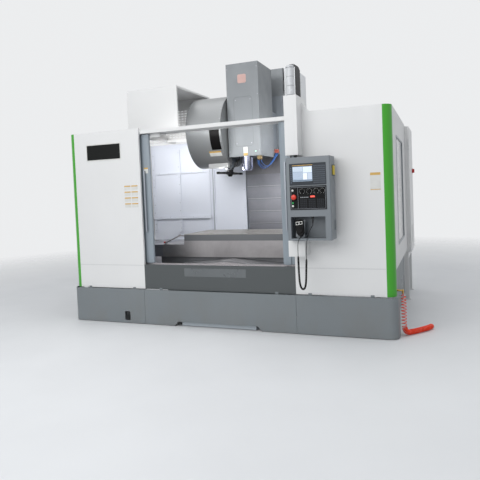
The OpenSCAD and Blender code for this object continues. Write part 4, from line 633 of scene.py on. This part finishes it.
def curl(path, radius, pitch_at, per_turn, lead, first):
    """A helix round a path of machine points, starting on the side first. pitch_at(s) gives the pitch at a
    share s of the path, and the helix opens and closes over the length lead."""
    fine = smooth_path(path, 3.0)
    run = [0.0]
    for a, b in zip(fine, fine[1:]):
        run.append(run[-1] + (b - a).length)
    total = run[-1]
    out, turn, at, k = [], 0.0, 0.0, 0
    side = Vector(first)
    while at <= total:
        while k < len(run) - 2 and run[k + 1] < at:
            k += 1
        t = (at - run[k]) / max(run[k + 1] - run[k], 1e-9)
        centre = fine[k].lerp(fine[k + 1], t)
        ahead = (fine[min(k + 2, len(fine) - 1)] - fine[max(k - 1, 0)]).normalized()
        side = (side - ahead * side.dot(ahead)).normalized()
        other = ahead.cross(side)
        grow = max(min(1.0, at / lead, (total - at) / lead), 0.0)
        r = radius * grow * grow * (3 - 2 * grow)
        a = 2 * math.pi * turn
        out.append(centre + r * (math.cos(a) * side + math.sin(a) * other))
        step = pitch_at(at / total) / per_turn
        at += step
        turn += 1 / per_turn
    return out


def spline_object(name, machine_pts, d, mat, body):
    """A round tube on one open spline through machine points."""
    data = bpy.data.curves.new(name, "CURVE")
    data.dimensions = "3D"
    data.bevel_depth = d / 2000
    data.bevel_resolution = 3
    data.use_fill_caps = True
    spline = data.splines.new("POLY")
    spline.points.add(len(machine_pts) - 1)
    for p, q in zip(spline.points, machine_pts):
        p.co = (*P(*q), 1)
    spline.use_smooth = True
    data.materials.append(mat)
    ob = bpy.data.objects.new(name, data)
    scene.collection.objects.link(ob)
    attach(ob, body)
    return ob


# Cords and hoses

LEAD_DOWN = [(1175, -274, 1153), (1175, -283, 1150), (1174, -298, 1151), (1170, -310, 1146),
             (1162, -315, 1128), (1152, -316, 1090), (1148, -314, 1040), (1147, -310, 960)]
CURL = [(1147, -310, 960), (1148, -310, 880), (1149, -310, 800), (1151, -310, 720), (1157, -310, 650),
        (1170, -310, 606), (1190, -310, 590), (1210, -310, 606), (1222, -310, 650), (1228, -310, 720),
        (1232, -310, 800), (1236, -310, 880), (1238, -310, 930)]
LEAD_UP = [(1238, -310, 930), (1240, -310, 1000), (1246, -312, 1080), (1256, -310, 1150), (1274, -290, 1210),
           (1292, -262, 1254), (1304, -243, 1284), (1306, -240, 1304), (1306, -240, 1315.6)]
HOSE = [(2182, 250, 470), (2188, 238, 400), (2190, 225, 300), (2190, 212, 200), (2192, 205, 120),
        (2205, 215, 60), (2235, 245, 36), (2300, 320, 32), (2380, 420, 32), (2440, 510, 32), (2480, 600, 32)]
LINE_A = [(196, 1262, 2121.6), (196, 1262, 2104), (196, 1275, 2080), (208, 1310, 2050), (222, 1400, 2020),
          (232, 1550, 2040), (246, 1700, 2110), (252, 1820, 2180), (252, 1900, 2214), (252, 1930, 2240),
          (252, 1930, 2259.6)]
LINE_B = [(230, 1262, 2121.6), (230, 1262, 2108), (231, 1280, 2088), (238, 1330, 2062), (246, 1430, 2040),
          (254, 1570, 2060), (264, 1710, 2120), (270, 1820, 2184), (270, 1900, 2216), (270, 1930, 2242),
          (270, 1930, 2259.6)]
LINE_C = [(x - 18, y, z - 14 * math.sin(math.pi * i / 10)) for i, (x, y, z) in enumerate(LINE_A)]


def make_cords(m):
    """The free cords, each with its strain relief or end fittings."""
    # Pendant cord: thin lead, curly middle, thin lead
    down, up = smooth_path(LEAD_DOWN, 7), smooth_path(LEAD_UP, 7)
    curly = curl(CURL, 8.2, lambda s: 7.3 if 0.04 < s < 0.96 else 10.0, 14, 26, (0, 1, 0))
    pts = down + curly[1:] + up[1:]
    cord = spline_object("pendant_cable", pts, 6.6, m["rubber"], "operator_panel")
    bm = bmesh.new()
    turned(bm, [(7.5, 0), (7.5, 3), (6.4, 5), (6.4, 8), (5.6, 10), (5.6, 13), (4.9, 15), (4.9, 18),
                (4.2, 21)], toward((1306, -240, 1315.8), DOWN), 24)
    turned(bm, [(7.0, -2), (6.6, 3), (5.6, 6), (5.2, 10), (4.4, 13), (4.0, 17)],
           toward((1175, -273.4, 1153.4), tuple(Vector(LEAD_DOWN[1]) - Vector(LEAD_DOWN[0]))), 24)
    relief = new_object("cable_reliefs", bm, m["rubber"], "operator_panel")
    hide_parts("pendant_cord")

    # Coiled air hose down the right side and along the floor
    coil = curl(HOSE, 26.5, lambda s: 34.0 if s < 0.42 else 12.5, 20, 40, (0, 1, 0))
    hose = spline_object("coiled_hose", coil, 8.0, m["orange"], "machine_frame")
    bm = bmesh.new()
    slab(bm, round_rect(236, 486, 264, 514, 5), "x", 2080, 2090, 0)
    turned(bm, [(11, 0), (12, 1), (12, 14), (9, 15), (9, 30), (12, 31), (12, 44), (9, 45), (9, 92)],
           toward((2089, 250, 500), (1, 0, 0)), 24, 1)
    turned(bm, [(0, -13), (7, -12), (12, -6), (13.5, 0), (12, 6), (7, 12), (0, 13)],
           toward((2182, 250, 500), (0, 0, 1)), 24, 1)
    turned(bm, [(9, 0), (9, 10), (12, 11), (12, 27), (8, 29), (5, 36)], toward((2182, 250, 500), DOWN), 24, 1)
    fitting = new_object("hose_elbow", bm, [m["zinc"], m["brass"]], "machine_frame")
    bm = bmesh.new()
    end = Vector(HOSE[-1])
    aim = (end - Vector(HOSE[-2])).normalized()
    turned(bm, [(6, -14), (8, -12), (8, -2), (11, -1), (11, 12), (8.5, 13), (8.5, 22), (6.5, 24), (6.5, 30),
                (4, 31), (4, 18), (0, 18)], toward(tuple(end - aim * 34), tuple(aim)), 24)
    coupler = new_object("hose_coupling", bm, m["brass"], "machine_frame")
    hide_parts("air_hose")

    # Air lines of the head
    for name, route in (("air_line_a", LINE_A), ("air_line_b", LINE_B), ("air_line_c", LINE_C)):
        pts = smooth_path(route, 9)
        line = spline_object(name, pts, 10, m["blue"], "head")
        if name == "air_line_a":
            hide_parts("coolant_lines")


# Small parts and blank plates


def rivets(bm, x0, z0, x1, z1, y, index, r):
    """Four rivets at the corners of a plate."""
    for x in (x0, x1):
        for z in (z0, z1):
            turned(bm, [(r, -0.5), (r, 0.6), (r * 0.6, 1.4), (0, 1.7)], toward((x, y, z), OUT), 12, index)


def blank_label(bm, x0, z0, x1, z1, face, r, strips):
    """A bare label on a face that looks to the front. Its strips are (foot, top, corner radius)."""
    slab(bm, round_rect(x0, z0, x1, z1, r), "y", face - 0.1, face - 0.7, 0)
    for foot, top, corner in strips:
        slab(bm, round_rect(x0, foot, x1, top, corner), "y", face - 0.6, face - 1.0, 1)


def make_front_details(m):
    """The bare sign plate and the blank labels of the front panels and the left door."""
    bm = bmesh.new()
    x0, z0, x1, z1, rim, mid = -1842, 2165, -1290, 2390, 14, 7
    slab(bm, round_rect(x0, z0, x1, z1, 10), "y", FRONT - 0.1, FRONT - 2.6, 0)
    slab(bm, round_rect(x0 + rim, z0 + rim, x1 - rim, z1 - rim, 6), "y", FRONT - 2.5, FRONT - 3.4, 1)
    rivets(bm, x0 + mid, z0 + mid, x1 - mid, z1 - mid, FRONT - 2.7, 0, 3.0)
    new_object("sign_plate", bm, [m["label"], m["enamel_black"]], "machine_frame")

    bm = bmesh.new()
    wide, high, step_x, step_z = 96, 56, 108, 77
    for i in range(2):
        for j in range(4):
            x0, z1 = -1264 + i * step_x, 1816 - j * step_z
            blank_label(bm, x0, z1 - high, x0 + wide, z1, FRONT, 4, [(z1 - 15, z1, 3)])
    new_object("blank_labels", bm, [m["label"], m["strip"]], "machine_frame")

    bm = bmesh.new()
    blank_label(bm, 1891, 1635, 2001, 1823, FRONT, 5, [(1795, 1823, 4), (1635, 1643, 3)])
    new_object("blank_notice", bm, [m["label"], m["strip"]], "machine_frame")

    bm = bmesh.new()
    blank_label(bm, -992, 1965, -932, 2040, DOOR, 4, [(2022, 2040, 3)])
    new_object("door_label", bm, [m["label"], m["strip"]], "left_door")


def make_sheet_lines(m):
    """Fold lines across the front panels, painted as their shade, and the access panel with its outline
    painted as shade, screws and bare badge of the head's cover.
    """
    bm = bmesh.new()
    # Grey strips across the white panels: painted shade of the folds
    for x0, x1 in ((-2030, -1022), (1022, 2030)):
        for z0, z1, proud in ((771, 773.6, 0.8), (764.5, 767, 0.6)):
            slab(bm, [(x0, z0), (x1, z0), (x1, z1), (x0, z1)], "y", FRONT + 0.2, FRONT - proud, 0)
    new_object("panel_folds", bm, m["fold"], "machine_frame")

    bm = bmesh.new()
    # Dark ring round the access panel: painted shade of its seam
    x0, z0, x1, z1, w = -140, 2330, 142, 3035, 3.5
    outer, inner = round_rect(x0, z0, x1, z1, 40), round_rect(x0 + w, z0 + w, x1 - w, z1 - w, 37)
    for a, b, c, d in zip(outer, outer[1:] + outer[:1], inner[1:] + inner[:1], inner):
        slab(bm, [a, b, c, d], "y", HEAD + 0.2, HEAD - 0.8, 0)
    for x in (-112, 112):
        for z in (2370, 2990):
            screw(bm, (x, HEAD - 0.2, z), OUT, 6, 1)
    for z in (2260, 2620, 3050, 3440):
        for x in (-226, 226):
            screw(bm, (x, HEAD - 0.2, z), OUT, 5, 1)
        for y in (1260, 1790):
            screw(bm, (243.2, y, z), (1, 0, 0), 5, 1)
    slab(bm, round_rect(-68, 3228, 62, 3352, 22), "y", HEAD + 0.1, HEAD - 1.4, 2)
    new_object("head_panel_lines", bm, [m["fold_dark"], m["zinc"], m["badge"]], "head")


def bent_plate(bm, x0, x1, a0, a1, r0, r1, index=0, n=8):
    """A plate bent round the magazine drum, between two angles about its X axis in degrees."""
    rings = []
    for i in range(n + 1):
        t = math.radians(a0 + (a1 - a0) * i / n)
        rings.append([bm.verts.new(P(x, DRUM_Y + r * math.cos(t), DRUM_Z + r * math.sin(t)))
                      for x, r in ((x0, r0), (x1, r0), (x1, r1), (x0, r1))])
    bm.faces.new(rings[0]).material_index = index
    bm.faces.new(list(reversed(rings[-1]))).material_index = index
    for a, b in zip(rings, rings[1:]):
        for k in range(4):
            bm.faces.new((a[k], a[(k + 1) % 4], b[(k + 1) % 4], b[k])).material_index = index


def make_inner_details(m):
    """What the open doors show inside, and the bare plate on the apron."""
    # Frames, joint strip and screws of the white liner, the same on both sides of the column
    bm = bmesh.new()
    bars = [(1537, 1040, 1583, 2440, 11, 0), (985, 2032, 2082, 2072, 9, 0), (985, 1262, 2082, 1318, 15, 0),
            (2040, 1040, 2082, 2440, 7, 0), (985, 1040, 1020, 2440, 6, 0), (922, 1050, 944, 2450, 2, 1)]
    for s in (-1, 1):
        for x0, z0, x1, z1, proud, index in bars:
            a, b = sorted((s * x0, s * x1))
            slab(bm, round_rect(a, z0, b, z1, 2, 2), "y", LINER + 0.3, LINER - proud, index)
        for z in (2390, 2150, 1975, 1850, 1700, 1540, 1400, 1200, 1100):
            screw(bm, (s * 1560, LINER - 11, z), OUT, 6, 2)
            screw(bm, (s * 2061, LINER - 7, z - 30), OUT, 6, 2)
        for x in (1100, 1320, 1760, 1950):
            screw(bm, (s * x, LINER - 9, 2052), OUT, 5, 2)
            screw(bm, (s * x, LINER - 15, 1290), OUT, 5, 2)
        for z in (1120, 1420, 1720, 2020, 2320):
            screw(bm, (s * 380, LINER, z), OUT, 5, 2)
    new_object("liner_frames", bm, [m["white_in"], m["joint"], m["zinc"]], "machine_frame", bevel=1.2)

    # Blank label and screws of the magazine drum
    bm = bmesh.new()
    x0, x1, foot = -497, -312, 215.5
    bent_plate(bm, x0, x1, foot, 225, DRUM_R - 0.4, DRUM_R + 0.9, 0)
    bent_plate(bm, x0, x1, foot, 218.2, DRUM_R + 0.6, DRUM_R + 1.4, 1)
    new_object("drum_label", bm, [m["label"], m["strip"]], "machine_frame")
    bm = bmesh.new()
    for a in range(110, 256, 18):
        t = math.radians(a)
        for x in (-792, -280):
            y, z = DRUM_Y + DRUM_R * math.cos(t), DRUM_Z + DRUM_R * math.sin(t)
            screw(bm, (x, y, z), (0, math.cos(t), math.sin(t)), 6)
    new_object("drum_screws", bm, m["zinc"], "machine_frame")

    # Red grip at the foot of the guard's pull rod, and the black nozzle holder beside the spindle
    rod_end = edge("table_guard", 0)
    bm = bmesh.new()
    turned(bm, [(0, -16), (9, -16), (12, -13), (12, 10), (9, 14), (0, 14)],
           toward((rod_end + 14, 708, 1000), (1, 0, 0.2)), 20)
    new_object("rod_grip", bm, m["red"], "table")
    route = [(-92, 1240, 2188), (-100, 1240, 2160), (-128, 1240, 2100), (-142, 1240, 2072),
             (-176, 1242, 2046), (-212, 1246, 2030)]
    holder = spline_object("nozzle_holder", smooth_path(route), 9, m["black_steel"], "head")
    bm = bmesh.new()
    turned(bm, [(13, 0), (13, 5), (9, 6), (9, 14), (5, 15)], toward((-92, 1240, 2184.6), DOWN), 20)
    turned(bm, [(5, -2), (9, 0), (9, 16), (6, 20), (4, 30), (2.5, 30), (2.5, 20), (0, 20)],
           toward((-206, 1245, 2032), (-0.85, 0.1, -0.45)), 20)
    new_object("nozzle_tip", bm, m["black_steel"], "head")

    bm = bmesh.new()
    x0, z0, x1, z1, inset = -432, 637, 400, 740, 10
    slab(bm, round_rect(x0, z0, x1, z1, 6), "y", FRONT - 0.1, FRONT - 1.6, 0)
    rivets(bm, x0 + inset, z0 + inset, x1 - inset, z1 - inset, FRONT - 1.7, 0, 3.0)
    new_object("apron_plate", bm, m["plate"], "machine_frame")


def make_panel_details(m):
    """Screen, display, printed lines and scales of the operator panel and its pendant."""
    # Screen with a plain lit picture: blank panes and bars only
    s = Shade("screen_glass", 0.12, 0.0, Coat_Weight=0.6)
    s.tone(lin(150, 168, 186), 0.05, s.noise(20))
    panes = [((1120, 1862), (1222, 1912), (196, 208, 222)), ((1230, 1850), (1328, 1912), (214, 224, 236)),
             ((1120, 1790), (1222, 1856), (172, 186, 204)), ((1230, 1776), (1276, 1844), (228, 234, 242)),
             ((1282, 1776), (1328, 1844), (186, 198, 214)), ((1120, 1762), (1328, 1772), (96, 110, 128))]
    for (x0, z0), (x1, z1), c in panes:
        s.over(s.zone((x0, None, z0), (x1, None, z1)), lin(*c))
    bar_pitch = 9.0
    wave = s.maths("SINE", s.maths("MULTIPLY", s.axis(2), 6283 / bar_pitch))
    bars = s.maths("MULTIPLY", s.maths("GREATER_THAN", wave, 0.55),
                   s.zone((1126, None, 1794), (1216, None, 1908)))
    s.over(s.maths("MULTIPLY", bars, 0.5), lin(104, 122, 144))
    s.glow(0.35)
    bm = bmesh.new()
    slab(bm, round_rect(*SCREEN, 3), "y", PLATE + 1.8, PLATE + 0.4, 0)
    new_object("screen", bm, s.done(), "operator_panel")

    bm = bmesh.new()
    slab(bm, round_rect(1112, 1926, 1336, 1932, 2), "y", PLATE - 0.9, PLATE - 1.6, 0)
    new_object("screen_stripe", bm, m["strip"], "operator_panel")

    s = Shade("red_display", 0.2)
    s.tone(lin(232, 84, 70), 0.08, s.noise(90))
    s.glow(0.8)
    bm = bmesh.new()
    slab(bm, round_rect(1303, 1583, 1351, 1601, 1.5), "y", PLATE + 2.1, PLATE + 0.6, 0)
    new_object("display_window", bm, s.done(), "operator_panel")

    # Printed outline of the operator plate, and the line beside its buttons
    inset, w = 11, 2
    x0, z0 = (edge("operator_plate", axis) + inset for axis in (0, 2))
    x1, z1 = (edge("operator_plate", axis, True) - inset for axis in (0, 2))
    bm = bmesh.new()
    for a, b, c, d in ((x0, z0, x1, z0 + w), (x0, z1 - w, x1, z1), (x0, z0 + w, x0 + w, z1 - w),
                       (x1 - w, z0 + w, x1, z1 - w), (1166, z0 + w, 1166 + w, z1 - w)):
        slab(bm, [(a, b), (c, b), (c, d), (a, d)], "y", PLATE + 0.1, PLATE - 0.2, 0)
    new_object("plate_lines", bm, m["joint"], "operator_panel")

    # Scale ticks round the rotary knobs and a collar under the emergency stop
    bm = bmesh.new()
    w = 1.3
    for knob in ("knob_1", "knob_2", "knob_3", "knob_4"):
        knob_x, knob_z = middle(knob, 0), middle(knob, 2)
        for i in range(11):
            t = math.radians(-150 + 30 * i)
            u, v = math.sin(t), math.cos(t)
            a, b = 24.5, 28.5 if i % 5 else 30.5
            pts = [(knob_x + u * r - v * off, knob_z + v * r + u * off)
                   for r, off in ((a, w), (a, -w), (b, -w), (b, w))]
            slab(bm, pts, "y", PLATE + 0.1, PLATE - 0.5, 0)
    new_object("knob_scales", bm, m["key_white"], "operator_panel")
    bm = bmesh.new()
    turned(bm, [(30, -0.2), (30, 1.2), (27, 2.0), (13, 2.0), (13, -0.2)],
           toward((middle("emergency_stop", 0), PLATE, middle("emergency_stop", 2)), OUT), 40)
    new_object("stop_collar", bm, m["black"], "operator_panel")

    # White scale plates of the pendant's two selectors
    tilt = Matrix.Rotation(math.radians(-12), 4, "X") @ Matrix.Rotation(math.radians(-7), 4, "Y")
    place = Matrix.Translation(P(1164, -252, 1252)) @ tilt @ Matrix.Scale(0.001, 4)
    bm = bmesh.new()
    for x in (-19, 19):
        slab(bm, round_rect(x - 17.5, 33, x + 17.5, 68, 4), "y", -20.9, -21.9, 0, place)
    new_object("selector_scales", bm, m["key_white"], "operator_panel")


def make_head_details(m):
    """Blank label and lit indicator at the foot of the head's cover."""
    bm = bmesh.new()
    blank_label(bm, -17, 2196, 47, 2318, HEAD, 4, [(2196, 2230, 3)])
    new_object("head_label", bm, [m["label"], m["strip"]], "head")
    s = Shade("indicator_green", 0.2)
    s.tone(lin(150, 240, 190), 0.05, s.noise(60))
    s.glow(1.6)
    bm = bmesh.new()
    place = toward((171, HEAD, 2248), OUT)
    turned(bm, [(9, -0.5), (9, 2), (7.5, 3), (7, 3)], place, 24, 1)
    turned(bm, [(6.5, 2.5), (6.2, 4), (4, 5.6), (0, 6.4)], place, 24, 0)
    new_object("indicator", bm, [s.done(), m["zinc"]], "head")


def main():
    make_camera()
    make_studio()
    m = make_materials()
    dress(m)
    make_cords(m)
    make_front_details(m)
    make_sheet_lines(m)
    make_inner_details(m)
    make_panel_details(m)
    make_head_details(m)


main()
